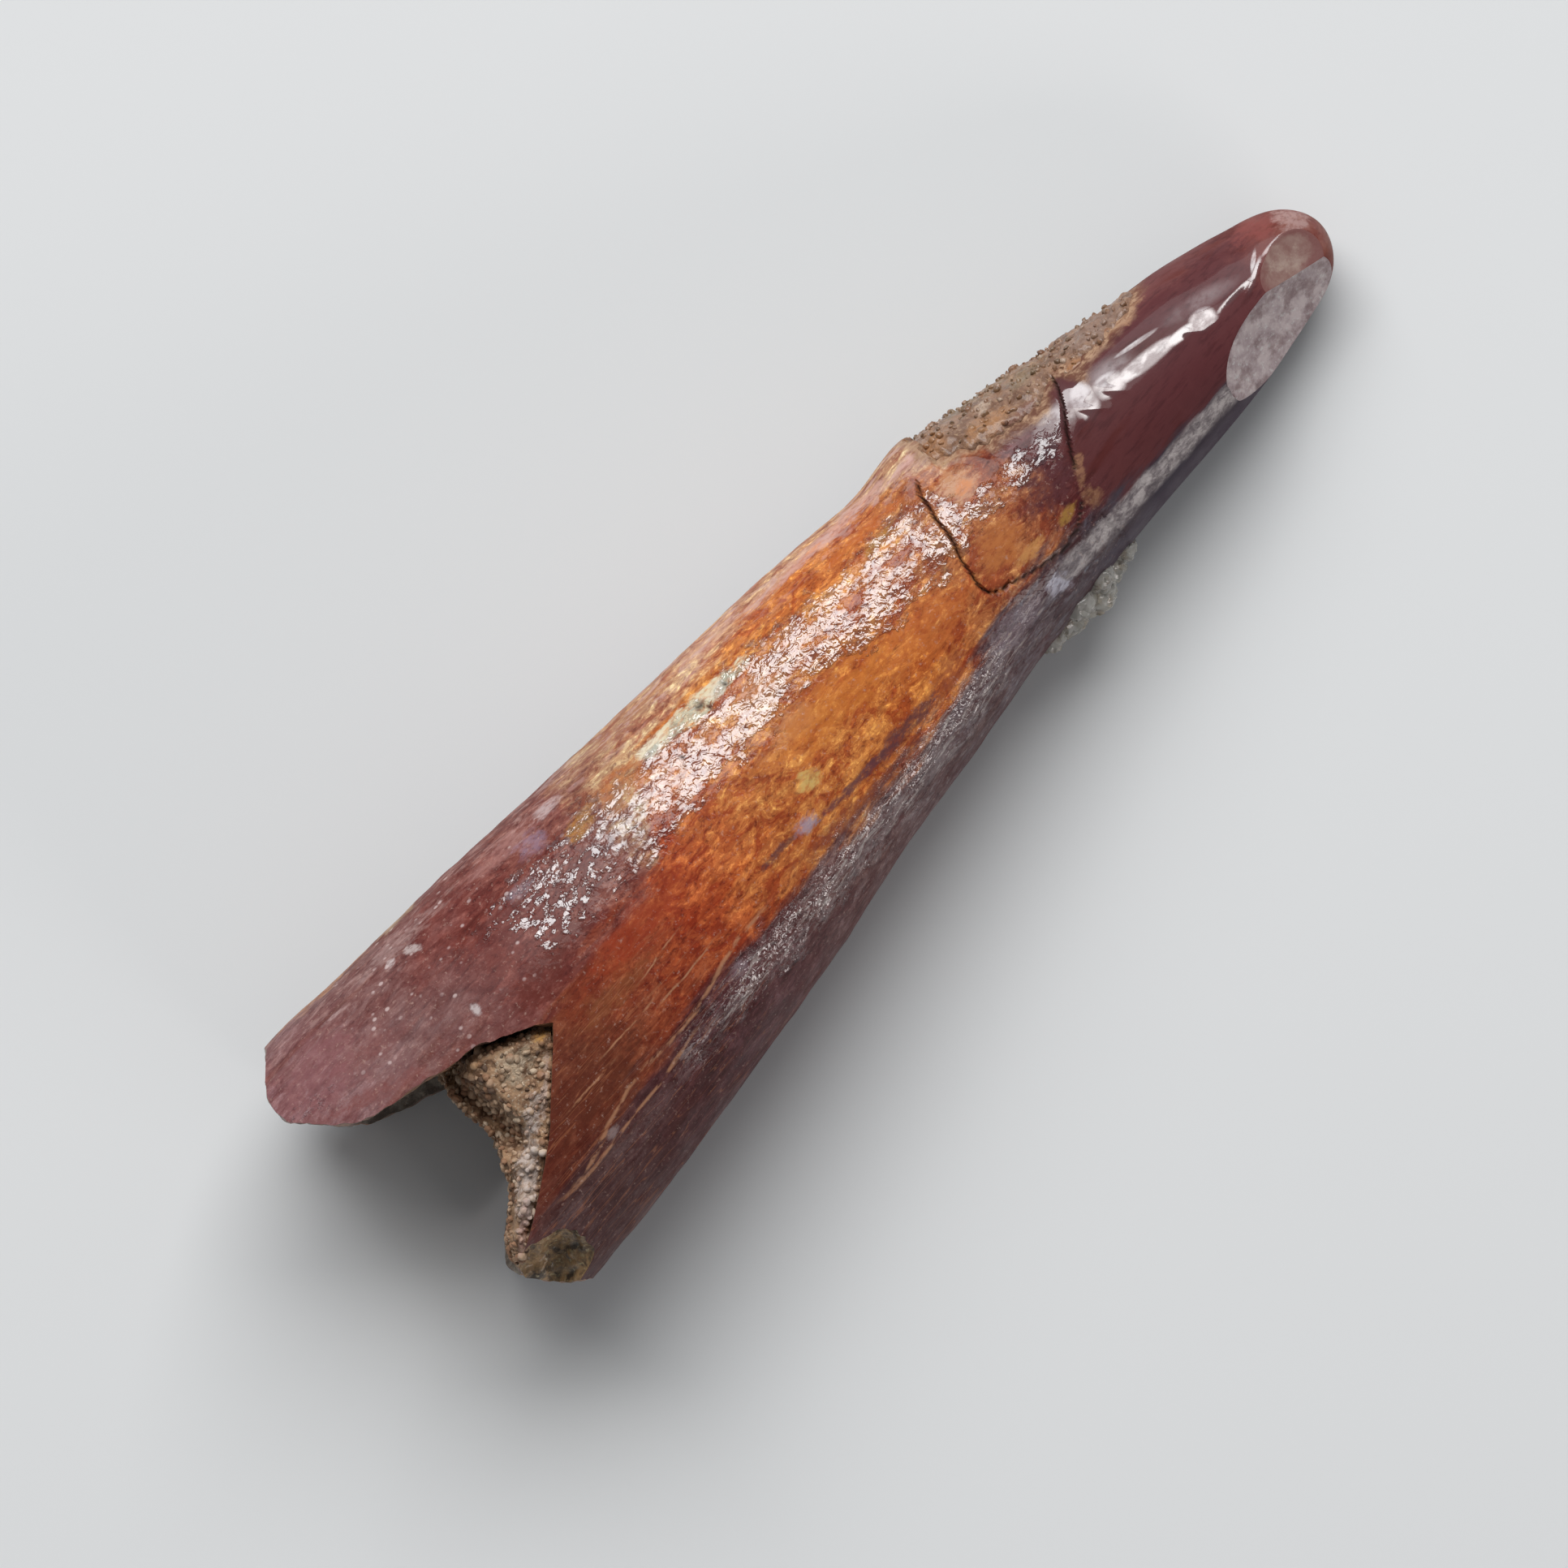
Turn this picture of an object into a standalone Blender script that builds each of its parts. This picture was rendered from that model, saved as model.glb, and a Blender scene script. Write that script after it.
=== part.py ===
"""Fossil pterosaur tooth, lying on its side with its broken root at -X and its worn tip at +X.

The tooth is one long, almost straight cone. Its root is broken open in a deep V, which leaves two
prongs of root wall, and sandstone fills the pulp cavity behind the V. A crust of the same sand lies
in a flaked scar on one side of the crown, and a clump of quartz grains clings to the other side.

+Z is up, +Y is the side that carries the crust, and z = 0 is the surface that the tooth lies on.
Sizes are in millimetres until a point is placed, and `along` is measured from the root's far end.
"""

import math
from dataclasses import dataclass

import bmesh
import bpy
from mathutils import Vector, noise

MM = 0.001

LENGTH = 27.0
MIDDLE_ACROSS = 0.083
GAP = 0.3

# The tooth's two side edges, seen from above: distance along, edge at +Y, edge at -Y
SIDE_EDGES = (
    (-1.0, 4.06, -3.95),
    (1.3, 4.03, -3.92),
    (2.8, 3.88, -3.84),
    (5.0, 3.69, -3.70),
    (7.4, 3.48, -3.47),
    (9.8, 3.22, -3.22),
    (12.3, 3.00, -2.87),
    (14.7, 2.74, -2.64),
    (16.6, 2.50, -2.43),
    (18.4, 2.28, -2.31),
    (20.2, 1.80, -2.23),
    (22.2, 1.31, -2.21),
    (23.9, 0.98, -2.13),
    (25.1, 0.63, -1.99),
    (26.0, 0.34, -1.86),
    (27.0, 0.20, -1.80),
)
DEPTH_SHARE_ROOT = 0.79
DEPTH_SHARE_TIP = 0.88
SECTION_POWER = 2.12
TIP_ROUND_LENGTH = 1.2

# How far the belly is sunk into the surface before it is cut flat there, and how the tip lifts off it
BELLY_FLAT_DEPTH = 0.12
LIFT_START = 20.5
LIFT_AT_TIP = 0.32

# Low swells of the root's surface
SWELL_HEIGHT = 0.045
SWELL_LENGTH = 3.2
SWELL_WIDTH = 1.5
SWELL_REACH_ROUND = 3.0
SWELL_FADE_LENGTH = 5.0

# The lip where the root's outer layer ends above the scar
LIP_ALONG = 18.40
LIP_RISE_LENGTH = 1.9
LIP_HEIGHT = 0.24
LIP_ANGLE = math.radians(12)
LIP_HALF_SPREAD = math.radians(62)
LIP_FULL_SHARE = 0.6
LIP_STEP_LENGTH = 0.06

ROOT_START = -0.6
RING_POINTS = 44
RING_SPACING = 0.62
TIP_RINGS = 7

# The pulp cavity: half sizes at the root's end, and where it closes
CAVITY_HALF_WIDTH = 2.85
CAVITY_HALF_DEPTH = 2.15
CAVITY_CUT_START = -1.5
CAVITY_END = 10.4
CAVITY_TAPER_POWER = 1.7
CAVITY_LEAST_RADIUS = 0.02
CAVITY_RING_POINTS = 28
CAVITY_RINGS = 9

# The break in the upper wall, seen from above, from the +Y prong round to the -Y prong
UPPER_BREAK = (
    (1.00, 4.60),
    (0.80, 3.88),
    (0.50, 3.68),
    (0.20, 3.45),
    (0.05, 3.26),
    (0.00, 2.95),
    (0.05, 2.68),
    (0.35, 2.39),
    (0.65, 2.02),
    (0.95, 1.72),
    (1.42, 1.50),
    (1.94, 1.35),
    (2.52, 1.22),
    (3.07, 1.02),
    (3.45, 0.98),
    (3.86, 0.84),
    (4.24, 0.62),
    (4.61, 0.43),
    (5.04, 0.06),
    (4.72, -0.24),
    (4.05, -0.78),
    (3.28, -1.40),
    (2.45, -1.90),
    (1.72, -2.30),
    (1.06, -2.60),
    (0.93, -2.85),
    (1.10, -3.24),
    (1.40, -3.58),
    (1.70, -3.84),
    (1.90, -4.60),
)

# The break in the lower wall, which reaches less far
LOWER_BREAK = (
    (1.00, 4.60),
    (0.80, 3.88),
    (0.50, 3.68),
    (0.20, 3.45),
    (0.10, 3.20),
    (0.16, 2.70),
    (0.46, 2.32),
    (0.70, 1.95),
    (0.95, 1.69),
    (1.25, 1.47),
    (1.70, 1.27),
    (2.00, 1.11),
    (2.45, 0.97),
    (3.05, 0.68),
    (3.70, 0.20),
    (3.20, -0.72),
    (2.62, -1.30),
    (2.05, -1.62),
    (1.55, -1.84),
    (1.22, -2.10),
    (0.93, -2.42),
    (0.90, -2.80),
    (1.10, -3.20),
    (1.40, -3.56),
    (1.70, -3.84),
    (1.90, -4.60),
)
BREAK_CUT_START = -2.0
BREAK_STEP_HEIGHT = 3.0
BREAK_OVERLAP = 0.05
BREAK_CUT_TOP = 8.0
BREAK_CUT_BOTTOM = -1.5

# The chipped end of the -Y prong
CHIP_CENTRE = (0.95, -3.30, 5.10)
CHIP_RADII = (1.35, 0.90, 1.35)
CHIP_ROUGHNESS = 0.12
CHIP_LUMPS_PER_RADIUS = 2.3
CHIP_LUMP_SHIFT = Vector((3.1, 0.0, 0.0))


@dataclass(frozen=True)
class WearFacet:
    """A slightly hollow flat worn on the tip, round a point of the surface.

    Attributes:
        name: The cutter's name.
        along: Where its middle is along the tooth.
        angle: Where its middle is round the tooth.
        depth: How deep the wear is at the middle.
        radius: Radius of the hollow.
    """

    name: str
    along: float
    angle: float
    depth: float
    radius: float


SIDE_FACET = WearFacet("side_wear_cutter", 24.95, math.radians(139), 0.29, 7.6)
END_FACET = WearFacet("end_wear_cutter", 26.12, math.radians(96), 0.14, 5.0)
FACET_SEGMENTS = 96

# The scar on the crown's side and the crust in it
SCAR_DEPTH = 0.40
SCAR_CUT_HEIGHT = 0.9
CRUST_PROUD = 0.13
CRUST_LUMP_HEIGHT = 0.07
CRUST_LUMP_SIZE = 0.75
CRUST_START = 18.62
CRUST_END = 23.55
CRUST_UPPER_ANGLE_START = math.radians(60)
CRUST_UPPER_ANGLE_END = math.radians(46)
CRUST_LOWER_ANGLE_START = math.radians(-52)
CRUST_LOWER_ANGLE_END = math.radians(4)
CRUST_RAGGED = math.radians(7)
CRUST_BENDS = 6.0
CRUST_BEND_SHIFT = (4.2, 0.7)
CRUST_CLOSING_START = 0.75
CRUST_END_SHARE = 0.15
CRUST_ALONG_STEPS = 22
CRUST_ROUND_STEPS = 10
CRUST_EDGE_THICKNESS = 0.09

# The quartz grains on the crown's other side: along, across, up and radius
GRAINS = (
    (17.25, -2.28, 1.75, 0.31),
    (17.80, -2.27, 1.50, 0.40),
    (18.45, -2.34, 1.60, 0.46),
    (18.10, -2.25, 2.05, 0.34),
    (19.06, -2.20, 1.42, 0.37),
    (18.76, -2.22, 2.02, 0.30),
    (19.52, -2.20, 1.66, 0.28),
)
GRAIN_ROUGHNESS = 0.16
GRAIN_LUMPS_PER_RADIUS = 1.4
GRAIN_LUMP_STEP = 5.3
GRAIN_LUMP_SHIFT = 1.7

# The sandstone in the pulp cavity: where its broken face stands, from the -Y side to the +Y side,
# and how far the face leans back under the upper wall
PLUG_FACE = (
    (-2.70, 0.92),
    (-2.22, 1.10),
    (-1.85, 1.55),
    (-1.62, 2.02),
    (-1.10, 2.32),
    (-0.45, 2.62),
    (0.60, 2.74),
    (2.70, 2.90),
)
PLUG_LEAN = 0.75
PLUG_LEAN_ACROSS = (-2.2, -1.2)
PLUG_LEAN_HEIGHTS = (-0.6, 2.0)
PLUG_LUMP_HEIGHT = 0.17
PLUG_LUMP_SIZE = 0.55
PLUG_LUMP_SHIFT = 1.3
PLUG_BACK_START = 0.4
PLUG_FACE_RINGS = 7
PLUG_RINGS = 9
PLUG_BACK_GAP = 0.9


@dataclass(frozen=True)
class Finish:
    """A plain material: linear colour, roughness and whether light passes through."""

    name: str
    colour: tuple[float, float, float]
    roughness: float
    transmission: float = 0.0


TOOTH_FINISH = Finish("polished_dentine", (0.30, 0.085, 0.035), 0.25)
SANDSTONE_FINISH = Finish("sandstone", (0.33, 0.24, 0.15), 0.9)
CRUST_FINISH = Finish("cemented_sand", (0.32, 0.17, 0.07), 0.8)
QUARTZ_FINISH = Finish("quartz", (0.50, 0.46, 0.36), 0.2, 0.6)


def placed(along: float, across: float, up: float) -> Vector:
    """A point of the model in metres, with the origin below the middle of the tooth."""
    return Vector((along - LENGTH / 2, across - MIDDLE_ACROSS, up)) * MM


def smoothstep(start: float, end: float, value: float) -> float:
    """0 before start, 1 past end and an S curve between them."""
    t = min(max((value - start) / (end - start), 0.0), 1.0)
    return t * t * (3 - 2 * t)


def interpolated(rows, column: int, along: float) -> float:
    """A smooth curve through one column of a table whose first column is the distance along."""
    last = len(rows) - 2
    i = next((n for n in range(last) if rows[n + 1][0] > along), last)
    span = rows[i + 1][0] - rows[i][0]

    def slope(n: int) -> float:
        before, after = rows[max(n - 1, 0)], rows[min(n + 1, len(rows) - 1)]
        return (after[column] - before[column]) / (after[0] - before[0])

    t = (along - rows[i][0]) / span
    start, end = rows[i][column], rows[i + 1][column]
    rise = end - start
    a = slope(i) * span - rise
    b = rise - slope(i + 1) * span
    return start + t * rise + t * (1 - t) * (a * (1 - t) + b * t)


@dataclass(frozen=True)
class Section:
    """The tooth's cross-section at one place along it: its centre and half sizes."""

    along: float
    centre_across: float
    centre_up: float
    half_width: float
    half_depth: float


def section_at(along: float) -> Section:
    """The cross-section before any damage, with the tip rounded over its last stretch."""
    left = interpolated(SIDE_EDGES, 1, along)
    right = interpolated(SIDE_EDGES, 2, along)
    centre = (left + right) / 2
    round_share = max(along - (LENGTH - TIP_ROUND_LENGTH), 0.0) / TIP_ROUND_LENGTH
    rounding = math.sqrt(max(1 - round_share**2, 0.0))
    depth_share = DEPTH_SHARE_ROOT + (DEPTH_SHARE_TIP - DEPTH_SHARE_ROOT) * along / LENGTH
    full_half_width = (left - right) / 2
    full_half_depth = full_half_width * depth_share
    lift = LIFT_AT_TIP * max((along - LIFT_START) / (LENGTH - LIFT_START), 0.0) ** 2
    centre_up = full_half_depth - BELLY_FLAT_DEPTH + lift
    return Section(along, centre, centre_up, full_half_width * rounding, full_half_depth * rounding)


def surface_height(along: float, angle: float) -> float:
    """Swells and the lip, as a height over the plain section, in millimetres."""
    reach = SWELL_REACH_ROUND / SWELL_WIDTH
    swell_at = Vector((along / SWELL_LENGTH, math.cos(angle) * reach, math.sin(angle) * reach))
    swell = SWELL_HEIGHT * noise.noise(swell_at) * smoothstep(LENGTH, LENGTH - SWELL_FADE_LENGTH, along)
    turn = math.remainder(angle - LIP_ANGLE, math.tau)
    spread = smoothstep(LIP_HALF_SPREAD, LIP_HALF_SPREAD * LIP_FULL_SHARE, abs(turn))
    rise = smoothstep(LIP_ALONG - LIP_RISE_LENGTH, LIP_ALONG, along) if along <= LIP_ALONG else 0.0
    return swell + LIP_HEIGHT * spread * rise


def surface_point(along: float, angle: float, height: float = 0.0) -> tuple[float, float, float]:
    """A point on the tooth's side, `height` outside the plain section; the angle turns from +Y to +Z."""
    section = section_at(along)
    cosine, sine = math.cos(angle), math.sin(angle)
    power = 2 / SECTION_POWER
    across = math.copysign(abs(cosine) ** power, cosine)
    up = math.copysign(abs(sine) ** power, sine)
    return (
        along,
        section.centre_across + (section.half_width + height) * across,
        section.centre_up + (section.half_depth + height) * up,
    )


def add_object(name: str, mesh: bpy.types.Mesh) -> bpy.types.Object:
    """A new object in the scene that shows the mesh."""
    made = bpy.data.objects.new(name, mesh)
    bpy.context.scene.collection.objects.link(made)
    return made


def mesh_from(name: str, bm: bmesh.types.BMesh) -> bpy.types.Mesh:
    """Faces turned outwards and written to a new mesh."""
    bmesh.ops.recalc_face_normals(bm, faces=bm.faces)
    mesh = bpy.data.meshes.new(name)
    bm.to_mesh(mesh)
    bm.free()
    return mesh


def bridge_rings(bm: bmesh.types.BMesh, rings) -> None:
    """Quads between each ring of vertices and the next."""
    for ring, following in zip(rings, rings[1:]):
        count = len(ring)
        for i in range(count):
            bm.faces.new((ring[i], ring[(i + 1) % count], following[(i + 1) % count], following[i]))


def close_with_point(bm: bmesh.types.BMesh, ring, point: Vector) -> None:
    """A fan of triangles from the ring to one point."""
    tip = bm.verts.new(point)
    for i, vertex in enumerate(ring):
        bm.faces.new((vertex, ring[(i + 1) % len(ring)], tip))


def ring_angles(count: int) -> list[float]:
    """Even angles once round a section."""
    return [math.tau * i / count for i in range(count)]


def tooth_stations() -> list[float]:
    """Where the tooth's rings stand: even along the shaft, closer at the lip and over the tip."""
    tip_start = LENGTH - TIP_ROUND_LENGTH
    count = round((tip_start - ROOT_START) / RING_SPACING)
    shaft = [ROOT_START + (tip_start - ROOT_START) * i / count for i in range(count + 1)]
    shaft = [s for s in shaft if abs(s - LIP_ALONG) > RING_SPACING / 2]
    step = [LIP_ALONG, LIP_ALONG + LIP_STEP_LENGTH]
    tip = [tip_start + TIP_ROUND_LENGTH * math.sin(math.pi / 2 * i / TIP_RINGS) for i in range(1, TIP_RINGS)]
    return sorted(shaft + step + tip)


def tooth_body() -> bpy.types.Object:
    """The whole tooth before the break, with its belly cut flat at z = 0."""
    bm = bmesh.new()
    rings = []
    for along in tooth_stations():
        ring = []
        for angle in ring_angles(RING_POINTS):
            x, y, z = surface_point(along, angle, surface_height(along, angle))
            ring.append(bm.verts.new(placed(x, y, max(z, 0.0))))
        rings.append(ring)
    bridge_rings(bm, rings)
    bm.faces.new(rings[0])
    end = section_at(LENGTH)
    close_with_point(bm, rings[-1], placed(LENGTH, end.centre_across, end.centre_up))
    return add_object("tooth", mesh_from("tooth", bm))


def cavity_point(along: float, angle: float, inset: float) -> tuple[float, float, float]:
    """A point on the pulp cavity's wall, or inside it by the inset."""
    share = max(1 - (max(along, 0.0) / CAVITY_END) ** CAVITY_TAPER_POWER, 0.0)
    middle = section_at(along)
    half_width = max(CAVITY_HALF_WIDTH * share - inset, CAVITY_LEAST_RADIUS)
    half_depth = max(CAVITY_HALF_DEPTH * share - inset, CAVITY_LEAST_RADIUS)
    across = middle.centre_across + half_width * math.cos(angle)
    return along, across, middle.centre_up + half_depth * math.sin(angle)


def cavity_cutter() -> bpy.types.Object:
    """The pulp cavity, open past the root's end."""
    bm = bmesh.new()
    rings = []
    inner = [CAVITY_END * math.sin(math.pi / 2 * i / CAVITY_RINGS) for i in range(CAVITY_RINGS)]
    for along in (CAVITY_CUT_START, *inner):
        points = [cavity_point(along, angle, 0.0) for angle in ring_angles(CAVITY_RING_POINTS)]
        rings.append([bm.verts.new(placed(*point)) for point in points])
    bridge_rings(bm, rings)
    bm.faces.new(rings[0])
    end = section_at(CAVITY_END)
    close_with_point(bm, rings[-1], placed(CAVITY_END, end.centre_across, end.centre_up))
    return add_object("pulp_cavity_cutter", mesh_from("pulp_cavity_cutter", bm))


def break_cutter(name: str, outline, bottom: float, top: float) -> bpy.types.Object:
    """An upright block whose +X side is the outline of a break."""
    bm = bmesh.new()
    corners = [(BREAK_CUT_START, outline[0][1]), *outline, (BREAK_CUT_START, outline[-1][1])]
    face = bm.faces.new([bm.verts.new(placed(x, y, bottom)) for x, y in corners])
    grown = bmesh.ops.extrude_face_region(bm, geom=[face])
    raised = [item for item in grown["geom"] if isinstance(item, bmesh.types.BMVert)]
    bmesh.ops.translate(bm, verts=raised, vec=Vector((0, 0, (top - bottom) * MM)))
    return add_object(name, mesh_from(name, bm))


def chip_cutter() -> bpy.types.Object:
    """A rough lump that takes the chip out of the -Y prong's end."""
    bm = bmesh.new()
    bmesh.ops.create_icosphere(bm, subdivisions=2, radius=1.0)
    for vertex in bm.verts:
        rough = 1 + CHIP_ROUGHNESS * noise.noise(vertex.co * CHIP_LUMPS_PER_RADIUS + CHIP_LUMP_SHIFT)
        offset = (vertex.co[k] * CHIP_RADII[k] * rough for k in range(3))
        vertex.co = placed(*(centre + part for centre, part in zip(CHIP_CENTRE, offset)))
    return add_object("prong_chip_cutter", mesh_from("prong_chip_cutter", bm))


def surface_normal(along: float, angle: float) -> Vector:
    """The outward direction at a point of the tooth's side."""
    step = 0.02
    here = placed(*surface_point(along, angle))
    forward = placed(*surface_point(along + step, angle)) - here
    around = placed(*surface_point(along, angle + step)) - here
    return around.cross(forward).normalized()


def facet_cutter(facet: WearFacet) -> bpy.types.Object:
    """A large ball that grinds the facet out of the tip."""
    bm = bmesh.new()
    half = FACET_SEGMENTS // 2
    bmesh.ops.create_uvsphere(bm, u_segments=FACET_SEGMENTS, v_segments=half, radius=facet.radius * MM)
    facing = surface_normal(facet.along, facet.angle)
    middle = placed(*surface_point(facet.along, facet.angle)) + facing * (facet.radius - facet.depth) * MM
    bmesh.ops.translate(bm, verts=bm.verts, vec=middle)
    return add_object(facet.name, mesh_from(facet.name, bm))


def crust_angles(share: float) -> tuple[float, float]:
    """The crust's lower and upper edge, as angles round the crown, at a share of its length."""
    ragged = CRUST_RAGGED * noise.noise(Vector((share * CRUST_BENDS, *CRUST_BEND_SHIFT)))
    upper = CRUST_UPPER_ANGLE_START + (CRUST_UPPER_ANGLE_END - CRUST_UPPER_ANGLE_START) * share
    lower = CRUST_LOWER_ANGLE_START + (CRUST_LOWER_ANGLE_END - CRUST_LOWER_ANGLE_START) * share
    middle = (upper + lower) / 2
    past = max((share - CRUST_CLOSING_START) / (1 - CRUST_CLOSING_START), 0.0)
    closing = math.sqrt(max(1 - past**2, 0.0)) * (1 - CRUST_END_SHARE) + CRUST_END_SHARE
    return middle + (lower - middle) * closing - ragged, middle + (upper - middle) * closing + ragged


def crust_shell(name: str, grow: float, inner: float, outer: float, lumps: float) -> bpy.types.Object:
    """A closed patch over the scar, between two heights over the plain section.

    Args:
        name: The object's name.
        grow: How far its edges stand outside the crust's own, in millimetres.
        inner: Height of its inner face.
        outer: Height of its outer face.
        lumps: How high the lumps on its outer face are.
    """
    bm = bmesh.new()
    start, end = CRUST_START - grow, CRUST_END + grow
    layers = []
    for layer in (0, 1):
        rows = []
        for i in range(CRUST_ALONG_STEPS + 1):
            share = i / CRUST_ALONG_STEPS
            along = start + (end - start) * share
            lower, upper = crust_angles(share)
            widen = grow / section_at(along).half_depth
            row = []
            for j in range(CRUST_ROUND_STEPS + 1):
                angle = lower - widen + (upper - lower + 2 * widen) * j / CRUST_ROUND_STEPS
                height = inner
                if layer:
                    edge = min(j, CRUST_ROUND_STEPS - j, 2 * i, 2 * (CRUST_ALONG_STEPS - i)) / 2
                    lump_at = Vector((along, math.cos(angle) * 2, math.sin(angle) * 2)) / CRUST_LUMP_SIZE
                    full = outer + lumps * noise.noise(lump_at)
                    thin = inner + CRUST_EDGE_THICKNESS
                    height = thin + (full - thin) * min(edge, 1.0)
                row.append(bm.verts.new(placed(*surface_point(along, angle, height))))
            rows.append(row)
        layers.append(rows)
    inside, outside = layers
    for i in range(CRUST_ALONG_STEPS):
        for j in range(CRUST_ROUND_STEPS):
            for rows in layers:
                bm.faces.new((rows[i][j], rows[i + 1][j], rows[i + 1][j + 1], rows[i][j + 1]))
        for j in (0, CRUST_ROUND_STEPS):
            bm.faces.new((inside[i][j], inside[i + 1][j], outside[i + 1][j], outside[i][j]))
    for i in (0, CRUST_ALONG_STEPS):
        for j in range(CRUST_ROUND_STEPS):
            bm.faces.new((inside[i][j], inside[i][j + 1], outside[i][j + 1], outside[i][j]))
    return add_object(name, mesh_from(name, bm))


def grain_object(index: int, grow: float) -> bpy.types.Object:
    """One angular grain, with its surface moved out by `grow` millimetres."""
    along, across, up, radius = GRAINS[index]
    name = f"grain_{index + 1}" if grow == 0.0 else f"grain_pit_{index + 1}"
    shift = Vector((index * GRAIN_LUMP_STEP, GRAIN_LUMP_SHIFT, 0.0))
    bm = bmesh.new()
    bmesh.ops.create_icosphere(bm, subdivisions=2, radius=1.0)
    for vertex in bm.verts:
        rough = 1 + GRAIN_ROUGHNESS * noise.noise(vertex.co * GRAIN_LUMPS_PER_RADIUS + shift)
        step = vertex.co * (radius * rough + grow)
        vertex.co = placed(along + step.x, across + step.y, up + step.z)
    return add_object(name, mesh_from(name, bm))


def grain_clump(name: str, grow: float) -> bpy.types.Object:
    """All the grains joined into one body."""
    clump = grain_object(0, grow)
    clump.name = name
    for index in range(1, len(GRAINS)):
        boolean(clump, grain_object(index, grow), "UNION")
    return clump


def plug_face_along(across: float, up: float, middle_up: float) -> float:
    """Where the sandstone's broken face stands at a place in the cavity."""
    face = interpolated(PLUG_FACE, 1, across)
    lean = PLUG_LEAN * smoothstep(*PLUG_LEAN_ACROSS, across) * smoothstep(*PLUG_LEAN_HEIGHTS, up - middle_up)
    lump_at = Vector((across, up, PLUG_LUMP_SHIFT)) / PLUG_LUMP_SIZE
    return face + lean + PLUG_LUMP_HEIGHT * noise.noise(lump_at)


def pulp_plug() -> bpy.types.Object:
    """The sandstone in the cavity, with a lumpy broken face that leans back towards the upper wall."""
    bm = bmesh.new()
    angles = ring_angles(CAVITY_RING_POINTS)
    middle = section_at(PLUG_FACE[-1][1])
    centre = Vector((middle.centre_across, middle.centre_up))

    def face_vertex(angle: float, share: float):
        _, y, z = cavity_point(middle.along, angle, GAP)
        _, y, z = cavity_point(plug_face_along(y, z, centre.y), angle, GAP)
        across = centre.x + (y - centre.x) * share
        up = centre.y + (z - centre.y) * share
        return bm.verts.new(placed(plug_face_along(across, up, centre.y), across, up))

    shares = [ring / PLUG_FACE_RINGS for ring in range(1, PLUG_FACE_RINGS + 1)]
    face_rings = [[face_vertex(angle, share) for angle in angles] for share in shares]
    bridge_rings(bm, face_rings)
    face_middle = plug_face_along(centre.x, centre.y, centre.y)
    close_with_point(bm, face_rings[0], placed(face_middle, centre.x, centre.y))
    back_start, back_end = middle.along + PLUG_LEAN + PLUG_BACK_START, CAVITY_END - PLUG_BACK_GAP
    back_rings = [face_rings[-1]]
    for i in range(PLUG_RINGS):
        along = back_start + (back_end - back_start) * math.sin(math.pi / 2 * i / PLUG_RINGS)
        back_rings.append([bm.verts.new(placed(*cavity_point(along, angle, GAP))) for angle in angles])
    bridge_rings(bm, back_rings)
    end = section_at(back_end)
    close_with_point(bm, back_rings[-1], placed(back_end, end.centre_across, end.centre_up))
    return add_object("pulp_matrix", mesh_from("pulp_matrix", bm))


def hide_helper(helper: bpy.types.Object) -> None:
    """Marks an object as a cutter or a guide."""
    helper.hide_render = True
    helper.display_type = "WIRE"


def boolean(target: bpy.types.Object, tool: bpy.types.Object, operation: str) -> None:
    """Adds a Boolean modifier that uses the tool object."""
    modifier = target.modifiers.new(tool.name, "BOOLEAN")
    modifier.operation = operation
    modifier.solver = "EXACT"
    modifier.object = tool
    hide_helper(tool)


def principled(finish: Finish) -> bpy.types.Material:
    """A Principled material in the finish's colour and roughness."""
    material = bpy.data.materials.new(finish.name)
    material.use_nodes = True
    shader = material.node_tree.nodes["Principled BSDF"]
    shader.inputs["Base Color"].default_value = (*finish.colour, 1.0)
    shader.inputs["Roughness"].default_value = finish.roughness
    shader.inputs["Transmission Weight"].default_value = finish.transmission
    return material


def finished(made: bpy.types.Object, finish: Finish, sharp_over: float) -> None:
    """Gives a piece its material, and smooth shading that keeps edges sharper than the angle."""
    made.data.materials.append(principled(finish))
    made.data.shade_smooth()
    made.data.set_sharp_from_angle(angle=math.radians(sharp_over))


def build_tooth() -> bpy.types.Object:
    """The tooth with its cavity, break, chip, wear facets, scar and grain pits."""
    tooth = tooth_body()
    boolean(tooth, cavity_cutter(), "DIFFERENCE")
    upper = break_cutter("upper_break_cutter", UPPER_BREAK, BREAK_STEP_HEIGHT, BREAK_CUT_TOP)
    lower_top = BREAK_STEP_HEIGHT + BREAK_OVERLAP
    lower = break_cutter("lower_break_cutter", LOWER_BREAK, BREAK_CUT_BOTTOM, lower_top)
    boolean(tooth, upper, "DIFFERENCE")
    boolean(tooth, lower, "DIFFERENCE")
    boolean(tooth, chip_cutter(), "DIFFERENCE")
    boolean(tooth, facet_cutter(SIDE_FACET), "DIFFERENCE")
    boolean(tooth, facet_cutter(END_FACET), "DIFFERENCE")
    boolean(tooth, crust_shell("scar_cutter", GAP, -SCAR_DEPTH, SCAR_CUT_HEIGHT, 0.0), "DIFFERENCE")
    boolean(tooth, grain_clump("grain_pits_cutter", GAP), "DIFFERENCE")
    return tooth


def clear_scene() -> None:
    """Removes every object that the file opened with."""
    for old in list(bpy.data.objects):
        bpy.data.objects.remove(old, do_unlink=True)


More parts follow.
